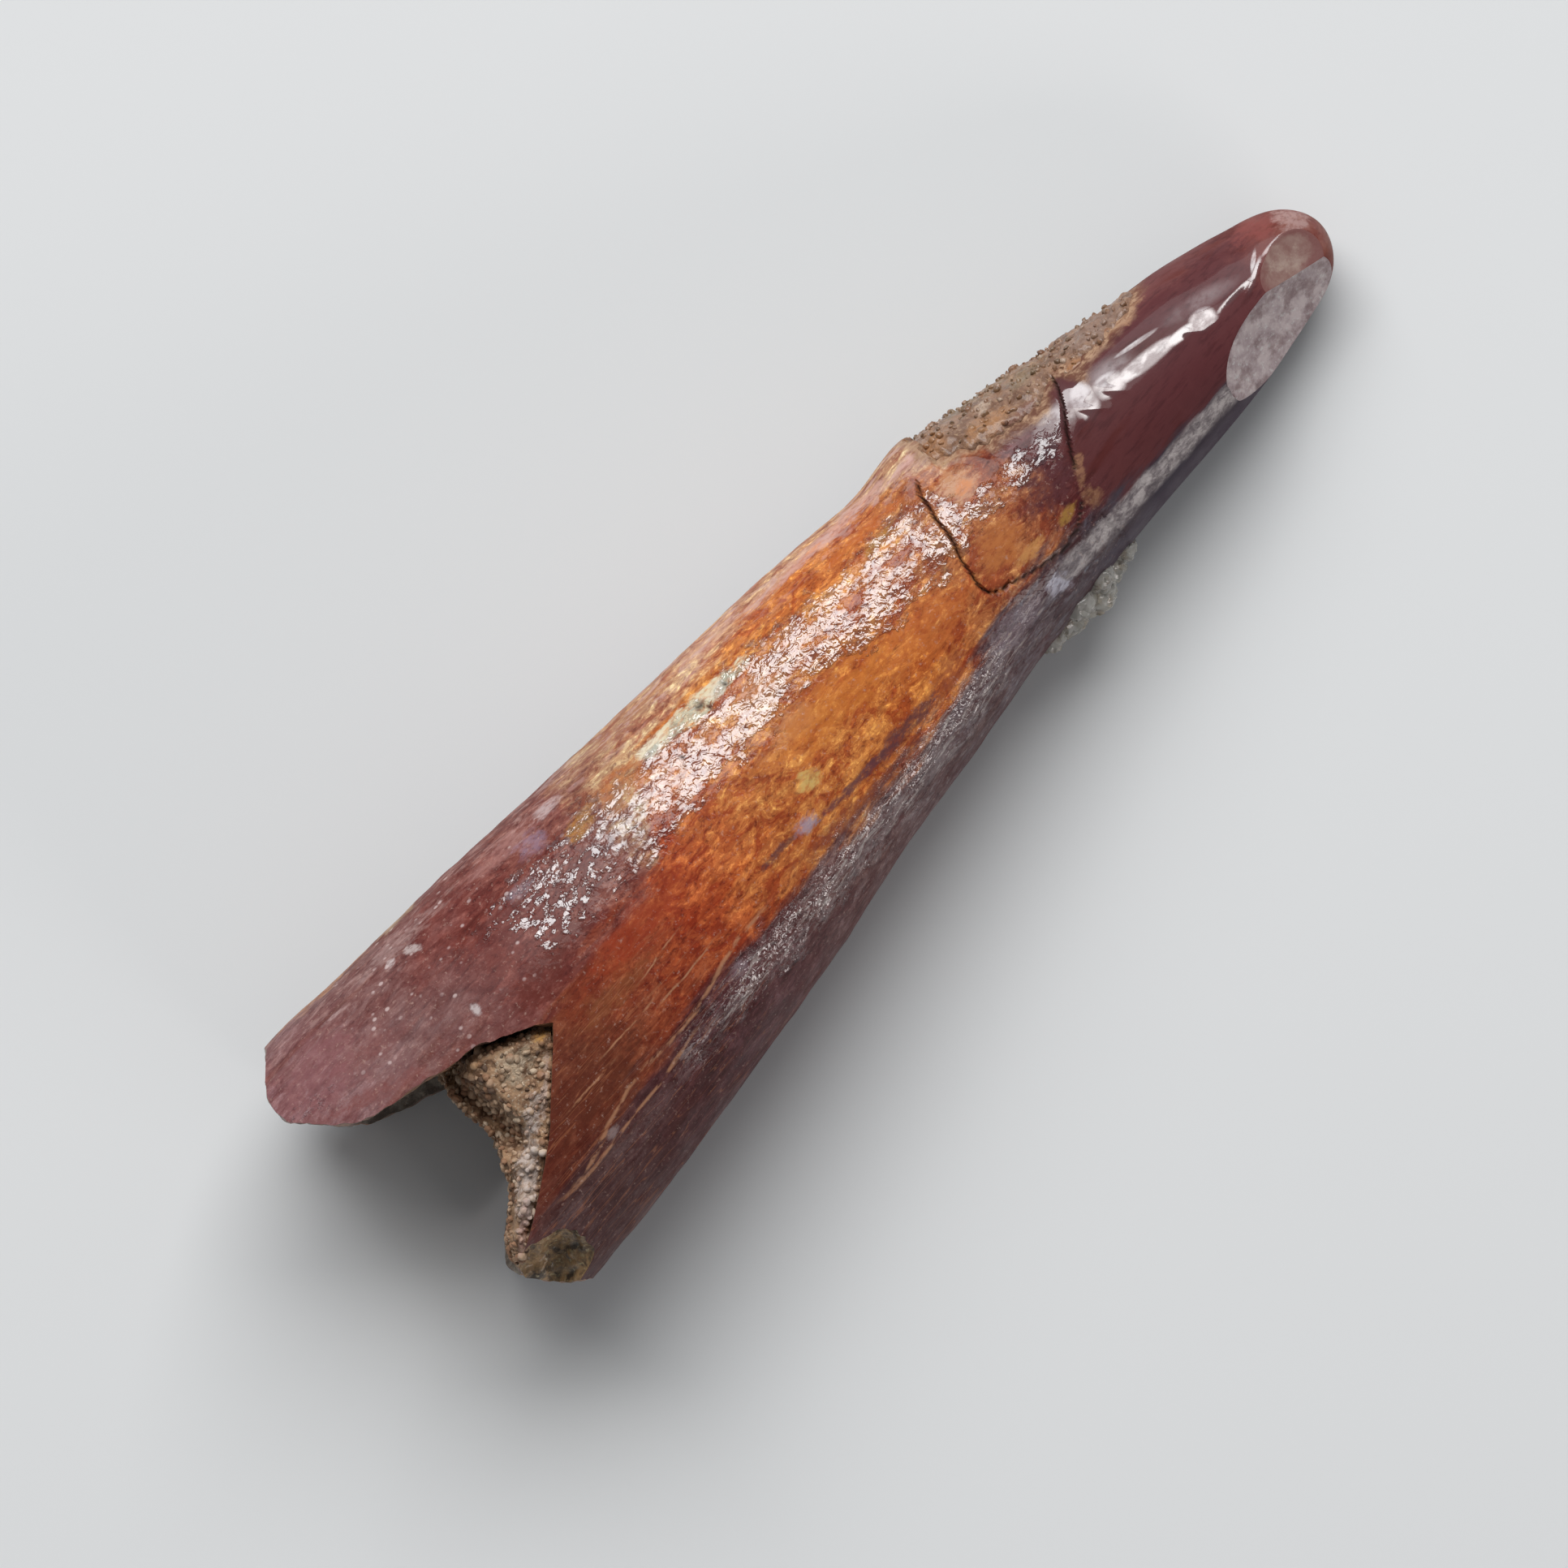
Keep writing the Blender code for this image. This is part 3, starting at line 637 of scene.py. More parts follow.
def patches_of(*rows: tuple) -> tuple[ColourPatch, ...]:
    """A patch for each row of its attributes."""
    return tuple(ColourPatch(*row) for row in rows)
@dataclass(frozen=True)
class ToothColours:
    """The tooth's colours: three bands that run its whole length, and the patches over them.

    Attributes:
        top: Distance along and linear colour of the band along the top.
        crust_side: The same for the band beside the sand crust.
        grain_side: The same for the band beside the quartz grains; its dark blue-grey stops on the crown are
            painted shade and dark reflection.
        crust_line: Where the top band meets the crust side's, along and across.
        grain_line: Where the top band meets the grain side's.
        silver_line: Middle of the pale flecks beside the quartz grains, which are painted highlight for the film's
            glints there.
        gold: Linear colour of the golden lines.
        gold_lines: Path, half width, start and end of each golden line.
        patches: The patches, each over the ones before it.
    """

    top: Stops = (
        (0.0, (0.18, 0.077, 0.077)), (2.5, (0.125, 0.03, 0.018)), (5.0, (0.15, 0.038, 0.019)),
        (7.0, (0.235, 0.044, 0.017)), (9.0, (0.365, 0.068, 0.018)), (11.5, (0.475, 0.155, 0.04)),
        (15.0, (0.475, 0.13, 0.028)), (17.2, (0.415, 0.135, 0.046)), (18.7, (0.3, 0.09, 0.036)),
        (19.4, (0.105, 0.027, 0.026)), (20.6, (0.098, 0.027, 0.028)), (23.0, (0.098, 0.026, 0.029)),
        (25.2, (0.11, 0.032, 0.034)), (26.3, (0.19, 0.06, 0.052)), (27.0, (0.24, 0.1, 0.08)),
    )
    crust_side: Stops = (
        (0.0, (0.205, 0.085, 0.087)), (3.0, (0.178, 0.078, 0.071)), (5.2, (0.148, 0.034, 0.027)),
        (8.3, (0.2, 0.062, 0.046)), (9.6, (0.43, 0.23, 0.12)), (12.5, (0.49, 0.245, 0.13)),
        (16.5, (0.44, 0.205, 0.1)), (18.4, (0.45, 0.24, 0.14)), (19.4, (0.19, 0.068, 0.045)),
        (21.5, (0.13, 0.038, 0.038)), (25.5, (0.15, 0.048, 0.046)), (27.0, (0.24, 0.09, 0.08)),
    )
    # From 21 on, the dark blue-grey stops are painted shade and dark reflection on the crown's low side.
    grain_side: Stops = (
        (0.0, (0.085, 0.04, 0.04)), (3.5, (0.088, 0.037, 0.035)), (7.0, (0.078, 0.02, 0.022)),
        (9.0, (0.098, 0.028, 0.028)), (11.0, (0.135, 0.056, 0.051)), (14.5, (0.118, 0.062, 0.063)),
        (17.0, (0.115, 0.07, 0.077)), (19.0, (0.08, 0.053, 0.06)), (21.0, (0.045, 0.034, 0.048)),
        (25.0, (0.055, 0.036, 0.046)), (27.0, (0.14, 0.06, 0.055)),
    )
    crust_line: Path = (
        (0.0, -0.6), (3.5, -0.3), (5.0, 0.25), (6.2, 0.35), (8.6, 0.5), (9.2, 1.2), (10.0, 2.1), (12.0, 2.45),
        (15.0, 2.35), (17.2, 2.1), (18.4, 1.7), (20.0, 1.25), (22.0, 0.9), (25.0, 0.4), (27.0, 0.2),
    )
    grain_line: Path = (
        (0.0, -2.6), (2.6, -2.3), (4.0, -2.15), (6.0, -1.95), (8.0, -1.72), (10.0, -1.75), (12.2, -1.88),
        (14.0, -1.72), (15.4, -1.6), (16.2, -1.34), (17.2, -1.12), (18.5, -1.15), (19.4, -1.25), (20.2, -1.46),
        (23.0, -1.55), (24.0, -1.95), (27.0, -2.0),
    )
    silver_line: Path = ((0.0, -2.6), (6.5, -2.25), (10.0, -2.25), (14.0, -2.05), (17.0, -1.8), (27.0, -1.9))
    gold: Colour = (0.44, 0.215, 0.115)
    gold_lines: tuple[tuple[Path, float, float, float], ...] = (
        (
            (
                (2.5, -2.42), (3.4, -2.3), (4.4, -2.05), (5.4, -1.86), (6.6, -1.9), (7.6, -1.78), (8.3, -1.62),
                (9.2, -1.56),
            ),
            0.035,
            2.6,
            9.4,
        ),
        (((2.3, -2.3), (3.0, -2.42), (4.2, -2.36), (5.5, -2.28), (7.0, -2.1)), 0.03, 2.3, 6.6),
        (((3.4, -1.36), (4.4, -1.32), (5.2, -1.33)), 0.022, 3.6, 5.2),
        (((6.6, -1.28), (7.4, -1.26), (8.4, -1.22)), 0.02, 6.4, 8.2),
        (((5.0, -1.08), (6.0, -1.12), (7.6, -1.06)), 0.016, 4.9, 6.6),
        (((6.6, -0.7), (7.6, -0.58), (8.2, -0.56)), 0.016, 6.5, 7.8),
    )
    patches: tuple[ColourPatch, ...] = patches_of(
        ("dark red beside the notch", 7.6, 0.05, 1.7, 0.55, (0.28, 0.038, 0.013), 0.7),
        ("brown below the notch", 4.6, -1.3, 2.2, 0.7, (0.1, 0.023, 0.012), 0.75),
        ("orange by the notch", 6.2, -0.45, 1.3, 0.35, (0.2, 0.062, 0.023), 0.6),
        ("maroon pool", 5.4, 0.72, 0.8, 0.4, (0.11, 0.019, 0.013), 0.75),
        ("maroon under the band's start", 6.3, 0.98, 1.5, 0.32, (0.11, 0.026, 0.02), 0.75, 3),
        ("dark red among the glints", 7.5, 1.6, 1.2, 0.5, (0.11, 0.03, 0.025), 0.55),
        ("red-brown of the prong", 2.2, 2.45, 1.2, 0.3, (0.19, 0.06, 0.055), 0.5, -14),
        ("pale mauve of the prong", 1.3, 2.9, 1.2, 0.8, (0.23, 0.092, 0.098), 0.6, 30),
        ("pink lower rim of the prong", 1.7, 1.75, 1.7, 0.22, (0.185, 0.048, 0.042), 0.6, -22),
        ("ochre outer edge of the prong", 2.3, 3.95, 1.6, 0.3, (0.48, 0.23, 0.075), 0.8, -3, 0.9, 4.0),
        ("pale outer edge", 4.4, 3.75, 0.8, 0.16, (0.56, 0.42, 0.26), 0.6, -4),
        ("pale edge of the red part", 6.9, 3.08, 1.3, 0.26, (0.36, 0.17, 0.15), 0.6, -5),
        ("pale haze on the outer edge", 4.1, 3.42, 1.3, 0.24, (0.33, 0.215, 0.2), 0.6, -4),
        ("pale mark by the edge", 3.75, 3.26, 0.16, 0.09, (0.56, 0.47, 0.46), 0.8, -10),
        ("second pale mark", 4.25, 3.1, 0.22, 0.11, (0.48, 0.39, 0.37), 0.8, -30),
        ("pale mark above the notch", 4.22, 1.38, 0.12, 0.16, (0.52, 0.45, 0.44), 0.8),
        ("pale line on the prong", 2.25, 3.4, 0.42, 0.06, (0.42, 0.29, 0.27), 0.7, -8),
        ("pale bloom on the edge", 8.05, 2.98, 0.42, 0.13, (0.52, 0.4, 0.39), 0.75, -4),
        ("grey pool by the band", 6.55, 2.3, 0.5, 0.16, (0.3, 0.23, 0.26), 0.6),
        ("grey-white spot below the notch", 4.15, -2.22, 0.2, 0.12, (0.3, 0.22, 0.21), 0.7),
        ("mauve bloom on the low side", 8.25, -1.95, 0.3, 0.2, (0.23, 0.16, 0.18), 0.7),
        ("lavender bloom", 7.35, 2.72, 0.45, 0.3, (0.26, 0.17, 0.23), 0.65),
        ("ochre at the band's start", 8.3, 2.25, 0.5, 0.22, (0.43, 0.19, 0.04), 0.75),
        ("orange at the band's start", 9.4, 2.15, 0.9, 0.4, (0.48, 0.16, 0.045), 0.7),
        ("red-brown edge", 10.4, 2.95, 1.9, 0.26, (0.3, 0.115, 0.07), 0.45, -5),
        ("red vein on the edge", 14.3, 2.5, 1.5, 0.09, (0.44, 0.125, 0.05), 0.7, -5),
        ("dark red under the core", 13.1, -1.66, 1.6, 0.12, (0.13, 0.042, 0.038), 0.7, 2),
        ("tan haze", 12.6, 1.35, 0.9, 0.4, (0.56, 0.24, 0.11), 0.6),
        ("pale orange above the core", 12.4, 0.42, 0.9, 0.32, (0.54, 0.25, 0.11), 0.6),
        ("bright orange core", 13.4, 0.05, 2.6, 0.55, (0.53, 0.16, 0.028), 0.7, -2),
        ("ginger core", 15.7, -0.35, 1.4, 0.6, (0.49, 0.132, 0.03), 0.7),
        ("red vein above the core", 14.0, 0.6, 1.4, 0.14, (0.33, 0.07, 0.016), 0.6, -3),
        ("orange under the streak", 11.6, -1.58, 1.9, 0.17, (0.215, 0.056, 0.03), 0.7, -2),
        ("orange end", 15.3, -1.25, 0.8, 0.26, (0.3, 0.076, 0.03), 0.7, 14),
        ("dark streak, first part", 10.5, -1.04, 0.75, 0.1, (0.1, 0.034, 0.036), 0.8, -3),
        ("dark streak, second part", 12.5, -1.26, 1.7, 0.12, (0.105, 0.038, 0.05), 0.85, -3),
        ("dark streak, last part", 14.0, -1.3, 1.2, 0.22, (0.11, 0.04, 0.042), 0.8),
        ("grey-blue spot", 11.22, -1.1, 0.38, 0.2, (0.33, 0.27, 0.34), 0.8),
        ("yellow spot", 11.92, -0.56, 0.36, 0.27, (0.6, 0.4, 0.13), 0.85),
        ("pink rim towards the lip", 15.8, 2.38, 2.7, 0.16, (0.64, 0.39, 0.33), 0.65, -5),
        ("pink haze on the edge", 12.8, 2.75, 1.1, 0.22, (0.56, 0.31, 0.23), 0.6, -5),
        ("deep orange vein", 16.2, 1.88, 1.5, 0.13, (0.47, 0.115, 0.024), 0.8, -6),
        ("gold beside the vein", 16.4, 1.55, 0.6, 0.14, (0.47, 0.23, 0.05), 0.7),
        ("pink lip", 17.8, 2.1, 0.6, 0.24, (0.62, 0.38, 0.33), 0.8),
        ("yellow-green patch", 11.5, 2.08, 1.55, 0.24, (0.7, 0.62, 0.43), 0.9, -4, 0.35),
        ("pale part of the patch", 10.35, 2.16, 0.4, 0.2, (0.76, 0.68, 0.52), 0.8),
        ("grey part of the patch", 12.05, 1.97, 0.35, 0.17, (0.68, 0.61, 0.49), 0.8),
        ("plate's orange block", 17.95, -0.32, 0.72, 0.6, (0.42, 0.138, 0.04), 0.9),
        ("plate's gold rim", 18.15, -0.85, 0.55, 0.16, (0.5, 0.24, 0.08), 0.7),
        ("plate's tan blotch", 18.25, 1.12, 0.62, 0.42, (0.52, 0.27, 0.148), 0.9),
        ("plate's orange heart", 18.3, 1.02, 0.25, 0.18, (0.58, 0.2, 0.06), 0.8),
        ("plate's maroon", 19.45, -0.2, 0.75, 0.65, (0.085, 0.024, 0.028), 0.75),
        ("olive blotch", 19.25, -0.92, 0.34, 0.13, (0.33, 0.18, 0.04), 0.75, 8),
        ("maroon above the plate", 19.9, 0.92, 0.8, 0.26, (0.095, 0.032, 0.034), 0.75, -8),
        ("ochre strip at the upper crack", 20.12, -0.46, 0.13, 0.42, (0.3, 0.145, 0.08), 0.75, -42),
        ("ochre below the crack", 19.85, -1.1, 0.25, 0.28, (0.27, 0.13, 0.07), 0.7, -40),
        ("grey-mauve bank", 16.9, -1.65, 1.1, 0.34, (0.23, 0.17, 0.19), 0.7, 8),
        ("pale mark on the bank", 18.2, -1.7, 0.42, 0.24, (0.56, 0.54, 0.62), 0.8),
        ("dark line over the bank", 18.6, -1.27, 0.9, 0.11, (0.05, 0.034, 0.04), 0.8, 3),
        ("red of the tip", 26.0, 0.05, 0.55, 0.4, (0.23, 0.062, 0.055), 0.7, -20),
        ("pale tip", 26.65, -0.35, 0.4, 0.45, (0.4, 0.26, 0.24), 0.75),
        ("tan end of the crust", 22.75, 0.92, 0.75, 0.22, (0.43, 0.24, 0.14), 0.8, -6),
    )


def glint(
    along: float, across: float, long: float, wide: float, strength: float, turn: float, edge: float = 0.5
) -> ColourPatch:
    """A place on the crown where the film is thick enough to mirror the light."""
    return ColourPatch("glint", along, across, long, wide, (1.0, 1.0, 1.0), strength, turn, edge, 0.5)


@dataclass(frozen=True)
class ToothGloss:
    """The clear consolidant over the tooth, and how it wrinkled.

    Attributes:
        roughness: Roughness of the tooth below the film.
        film_roughness: Roughness of the film.
        film_ior: The film's IOR.
        wrinkle_depth: Depth of the film's wrinkles, in millimetres.
        thin: Weight of the film outside the thick bands.
        band_low: Lower edge of the thick band on the crust's side, along and across.
        band_high: Its upper edge.
        far_line: Middle of the thick band beside the quartz grains.
        glints: Where the film is thick on the crown.
    """

    roughness: float = 0.5
    film_roughness: float = 0.06
    film_ior: float = 2.2
    wrinkle_depth: float = 0.05
    thin: float = 0.09
    band_low: Path = (
        (0.0, 2.6), (5.5, 2.2), (6.2, 1.05), (8.0, 0.85), (12.0, 0.78), (14.0, 0.74), (15.0, 0.28), (16.2, 0.3),
        (17.2, 0.1), (18.0, 0.35), (19.2, 0.3), (20.2, 0.1), (21.0, -0.3), (27.0, -1.2),
    )
    band_high: Path = (
        (0.0, 2.6), (5.5, 2.25), (6.5, 2.5), (9.0, 2.3), (10.0, 2.12), (12.0, 1.92), (13.3, 1.95), (15.0, 1.62),
        (17.5, 1.6), (18.2, 0.72), (20.0, 0.58), (20.8, 0.52), (22.0, 0.58), (24.0, 0.1), (27.0, -0.25),
    )
    far_line: Path = ((0.0, -2.6), (6.5, -2.3), (10.0, -2.25), (14.0, -2.05), (17.0, -1.75), (27.0, -1.9))
    glints: tuple[ColourPatch, ...] = tuple(glint(*row) for row in (
        (20.35, 0.45, 0.75, 0.36, 0.7, 10), (20.95, 0.62, 0.22, 0.6, 0.6, -32),
        (21.18, 0.36, 0.36, 0.56, 0.95, -20), (21.75, 0.16, 0.46, 0.34, 0.95, -20),
        (22.55, -0.05, 1.1, 0.2, 1.0, -10), (23.45, -0.25, 0.6, 0.14, 1.0, -12),
        (23.95, -0.38, 0.38, 0.28, 1.0, -12), (24.75, -0.53, 0.7, 0.08, 0.9, -3),
        (25.3, -0.57, 0.5, 0.08, 0.9, 24), (25.5, -0.36, 0.3, 0.06, 0.8, 32), (26.0, -0.42, 0.42, 0.06, 0.6, 0),
        (22.7, 0.32, 0.65, 0.06, 0.8, -14), (21.95, 0.34, 0.95, 0.38, 0.36, -14, 0.9),
        (24.2, -0.08, 1.5, 0.3, 0.22, -17, 0.9),
    ))


class ToothFinish:
    """Builds the tooth's outer material. Each step takes the colour so far and returns the next."""

    def __init__(self, colours: ToothColours, gloss: ToothGloss) -> None:
        """Starts the material, with the place along and across the tooth."""
        self.colours, self.gloss = colours, gloss
        self.material, self.desk, self.point = new_material("tooth_surface")
        split = self.desk.add("ShaderNodeSeparateXYZ", {0: self.point}).outputs
        self.along = self.desk.plus(split[0], FORM.length / 2)
        self.across = self.desk.plus(split[1], FORM.middle_across)

    def build(self) -> bpy.types.Material:
        """The finished material."""
        colour = self.fibres(self.bands())
        colour = self.desk.patched(self.point, colour, self.colours.patches)
        self.surface(self.marks(self.golden_streaks(colour)))
        return self.material

    def line(self, path: Path) -> Socket:
        """How far across the path lies at each place along the tooth."""
        return self.desk.curve(self.along, path, FORM.length, SIDE_REACH)

    def bands(self) -> Socket:
        """The three long bands of colour."""
        desk, reach = self.desk, FORM.length
        share = desk.attribute("up_share")
        warped = desk.plus(self.along, desk.times(desk.centred(self.point, 1.3, 4, 0.62), 3.2))
        warped = desk.math("MINIMUM", desk.most(warped, 0.0), reach)
        stops = (self.colours.top, self.colours.crust_side, self.colours.grain_side)
        top, crust_side, grain_side = (desk.ramp(warped, row, reach) for row in stops)
        strand = desk.centred(self.point, (0.35, 3.2, 3.2), 3, 0.6, shift=(7, 0, 0))
        over = desk.plus(self.across, desk.times(strand, 1.3))
        crust_mask = desk.span(desk.minus(over, self.line(self.colours.crust_line)), -0.12, 0.22)
        grain_mask = desk.span(desk.minus(over, self.line(self.colours.grain_line)), 0.18, -0.18)
        under = desk.span(desk.plus(share, desk.times(strand, 0.25)), 0.52, 0.36)
        colour = desk.blend(crust_mask, top, crust_side)
        return desk.blend(desk.most(grain_mask, under), colour, grain_side)

    def tinted(self, colour: Socket, value: Socket, low: float, high: float, strength, tint: Colour) -> Socket:
        """The colour times a tint, where the value is high."""
        mask = self.desk.times(self.desk.span(value, low, high), strength)
        return self.desk.blend(mask, colour, tint, "MULTIPLY")

    def fibres(self, colour: Socket) -> Socket:
        """Long fibres that darken, redden and lighten the bands."""
        desk, point, along = self.desk, self.point, self.along
        broad = desk.spots(point, (0.28, 1.9, 1.9), 4, 0.6, 0.4)
        fine = desk.spots(point, (0.9, 9.0, 9.0), 3, 0.6, 0.2, shift=(3, 1, 0))
        cloud = desk.spots(point, 0.85, 4, 0.6, 0.6, shift=(0, 5, 2))
        mottle = desk.spots(point, 3.4, 4, 0.65, 0.5, shift=(2, 2, 9))
        root = desk.span(along, 20.4, 19.6)
        colour = self.tinted(colour, broad, 0.5, 0.68, 0.75, (0.8, 0.52, 0.42))
        colour = self.tinted(colour, fine, 0.48, 0.68, 0.62, (0.62, 0.58, 0.62))
        colour = self.tinted(colour, cloud, 0.52, 0.7, desk.times(root, 0.55), (0.66, 0.5, 0.5))
        warm = desk.span(root, 0.0, 1.0, 0.15, 0.8)
        colour = self.tinted(colour, mottle, 0.5, 0.68, warm, (1.35, 1.45, 1.4))
        lively = desk.times(root, desk.span(along, 4.5, 8.0, 0.55, 1.0), 0.88)
        flame = desk.spots(point, (1.5, 3.2, 3.2), 5, 0.68, 0.9, shift=(8, 3, 3))
        colour = self.tinted(colour, flame, 0.52, 0.58, lively, (0.7, 0.44, 0.46))
        colour = self.tinted(colour, flame, 0.48, 0.4, lively, (1.45, 1.85, 1.9))
        grain = desk.spots(point, (6.5, 10.0, 10.0), 3, 0.7, 0.4, shift=(1, 8, 5))
        colour = self.tinted(colour, grain, 0.54, 0.64, lively, (1.45, 1.8, 1.8))
        return self.tinted(colour, grain, 0.45, 0.34, lively, (0.55, 0.45, 0.5))

    def golden_streaks(self, colour: Socket) -> Socket:
        """Pale flecks beside the quartz that paint part of the film's glints there, and thin golden lines that fan
        out from the broken prong.
        """
        desk, point, along, across = self.desk, self.point, self.along, self.across
        # Painted highlight: pale flecks along the low side's glint band paint the wrinkled film's whitish glints,
        # on top of the film's real reflection of the low light.
        off = desk.apart(across, self.line(self.colours.silver_line))
        where = desk.times(desk.span(off, 0.46, 0.12), desk.span(along, 5.5, 8.0), desk.span(along, 18.4, 17.0))
        painted_glint_flecks = desk.span(desk.spots(point, (1.5, 8.0, 8.0), 4, 0.7, 1.0, shift=(3, 8, 8)), 0.5, 0.66)
        colour = desk.blend(desk.times(painted_glint_flecks, where, 0.75), colour, (0.43, 0.36, 0.33))
        wander = desk.centred(point, (1.1, 2.0, 2.0), 3, 0.55, shift=(1, 6, 3))
        breaks = desk.span(desk.spots(point, (2.2, 6.0, 6.0), 3, 0.6, shift=(9, 0, 4)), 0.38, 0.55)
        over = desk.plus(across, desk.times(wander, 0.16))
        for path, width, start, end in self.colours.gold_lines:
            off = desk.apart(over, self.line(path))
            mask = desk.times(desk.span(off, width * 1.7, width * 0.3), breaks)
            ends = desk.times(desk.span(along, start, start + 0.7), desk.span(along, end + 0.5, end - 0.4))
            colour = desk.blend(desk.times(mask, ends, 0.75), colour, self.colours.gold)
        fan = desk.spots(point, (0.3, 6.5, 2.0), 2, 0.5, 0.0, shift=(2, 3, 0))
        hair = desk.span(desk.apart(fan, 0.5), 0.014, 0.003)
        where = desk.times(desk.span(along, 10.5, 6.0), desk.span(across, 0.3, -0.5))
        return desk.blend(desk.times(hair, where, 0.4), colour, (0.36, 0.13, 0.06))

    def marks(self, colour: Socket) -> Socket:
        """The grey worn strip, painted shade and dark reflection along the crown's low side, pale specks that
        partly paint glints, frosted bloom, dust, stain, pits and cracks.
        """
        desk, point, along, across = self.desk, self.point, self.along, self.across
        strip, crack, pit = (desk.attribute(name) for name in ("worn_strip", "crack", "pit"))
        grit = desk.spots(point, (3.0, 5.5, 5.5), 5, 0.7, 0.4, shift=(5, 5, 5))
        grey = desk.blend(desk.span(grit, 0.4, 0.62), (0.205, 0.175, 0.178), (0.45, 0.4, 0.39))
        colour = desk.blend(desk.times(strip, desk.span(grit, 0.3, 0.46, 0.45, 0.95)), colour, grey)
        # Painted shade and dark reflection: a dark blue-grey band along the crown's low -Y edge.
        painted_dark_reflection = desk.times(desk.span(across, -1.96, -2.08), desk.span(along, 17.6, 19.6))
        painted_dark_reflection = desk.times(painted_dark_reflection, desk.span(along, 25.4, 23.6))
        colour = desk.blend(desk.times(painted_dark_reflection, 0.85), colour, (0.058, 0.037, 0.056))
        # Pale specks on the prong, partly the tooth's own specks and partly painted highlight for the film's
        # pinprick glints there.
        scattered = {"Vector": desk.vector("MULTIPLY", point, (0.8, 1.0, 1.0)), "Scale": 4.4}
        cell = desk.add("ShaderNodeTexVoronoi", scattered).outputs["Distance"]
        sparse = desk.span(desk.spots(point, 1.6, 2, shift=(8, 1, 1)), 0.46, 0.6)
        speck_and_glint = desk.times(desk.span(cell, 0.24, 0.12), sparse)
        prong = desk.times(desk.span(along, 8.8, 6.5), desk.span(across, 0.6, 1.4), desk.span(along, 1.2, 2.6))
        colour = desk.blend(desk.times(speck_and_glint, prong, 0.75), colour, (0.55, 0.42, 0.4))
        frost_noise = desk.spots(point, (1.5, 4.2, 4.2), 5, 0.68, 0.5, shift=(1, 9, 2))
        edge_line = self.line(tuple((place, left - 0.45) for place, left, _ in FORM.side_edges[1:]))
        near_edge = desk.span(desk.minus(across, edge_line), -0.35, 0.25)
        where = desk.times(near_edge, desk.span(along, 19.0, 18.0), desk.span(along, 7.0, 10.0, 0.45, 1.0))
        frost = desk.times(desk.span(frost_noise, 0.5, 0.64), where, 0.7)
        colour = desk.blend(frost, colour, (0.56, 0.36, 0.32))
        dust = desk.spots(point, 11.0, 3, 0.7, shift=(6, 2, 2))
        dusty = desk.times(desk.span(dust, 0.58, 0.76), desk.span(along, 20.4, 19.4, 0.0, 0.45))
        colour = desk.blend(dusty, colour, (0.5, 0.33, 0.27))
        sandy = desk.blend(desk.span(grit, 0.38, 0.62), (0.2, 0.095, 0.05), (0.44, 0.28, 0.18))
        stain = desk.times(desk.attribute("sand_stain"), desk.span(grit, 0.36, 0.6, 0.5, 1.0))
        colour = desk.blend(stain, colour, sandy)
        colour = desk.blend(desk.times(pit, 0.92), colour, (0.03, 0.022, 0.02))
        return desk.blend(desk.times(crack, 0.95), colour, (0.022, 0.012, 0.01))

    def surface(self, colour: Socket) -> None:
        """The gloss of the tooth and the film over it, which deepens the colour where it is thick."""
        desk, point, along, gloss = self.desk, self.point, self.along, self.gloss
        strip = desk.attribute("worn_strip")
        smear = desk.spots(point, 1.4, 3, 0.6, shift=(3, 3, 3))
        rough = desk.span(smear, 0.35, 0.7, gloss.roughness - 0.08, gloss.roughness + 0.14)
        rough = desk.math("ADD", rough, desk.times(strip, 0.25), clamp=True)
        desk.shade({"Roughness": rough, "IOR": 1.5, "Specular IOR Level": 0.1})
        desk.shade({"Coat Roughness": gloss.film_roughness, "Coat IOR": gloss.film_ior})
        share, sand = desk.attribute("up_share"), desk.attribute("sand_stain")
        crown = desk.span(along, 19.9, 20.9)
        ragged = desk.centred(point, (2.2, 3.4, 3.4), 4, 0.65, shift=(6, 6, 2))
        over = desk.plus(self.across, desk.times(ragged, desk.span(crown, 0.0, 1.0, 1.7, 0.0)))
        above, below = (desk.minus(over, self.line(edge)) for edge in (gloss.band_low, gloss.band_high))
        band = desk.times(desk.span(above, -0.1, 0.1), desk.span(below, 0.16, -0.1))
        gaps = desk.spots(point, (1.5, 2.6, 2.6), 4, 0.65, shift=(2, 9, 9))
        lace = desk.spots(point, (4.2, 5.2, 5.2), 3, 0.6, shift=(5, 0, 9))
        dense = desk.span(along, 7.8, 9.0)
        lacy = desk.most(dense, desk.times(desk.span(gaps, 0.42, 0.52), desk.span(lace, 0.47, 0.55)))
        full = desk.span(gaps, 0.38, 0.54, 0.18, 0.82)
        band = desk.times(band, desk.times(lacy, full), desk.span(crown, 1.0, 0.0))
        glints = 0.0
        for spot in gloss.glints:
            glints = desk.most(glints, desk.patch(point, gaps, gaps, spot))
        far = desk.apart(over, self.line(gloss.far_line))
        far_band = desk.times(
            desk.span(far, 0.55, 0.15),
            desk.span(along, 5.5, 8.5),
            desk.span(along, 18.0, 15.5, 0.0, 0.5),
            desk.span(gaps, 0.36, 0.54, 0.3, 1.0),
        )
        thin = desk.times(desk.span(along, 5.2, 8.5, 0.015, gloss.thin), desk.span(crown, 0.0, 1.0, 1.0, 0.45))
        cover = desk.times(desk.most(band, far_band, glints, thin), desk.span(share, 0.5, 0.7, 0.35, 1.0))
        bare = (desk.times(strip, 0.9), desk.times(sand, 0.5), desk.attribute("crack"), desk.attribute("pit"))
        for hole in bare:
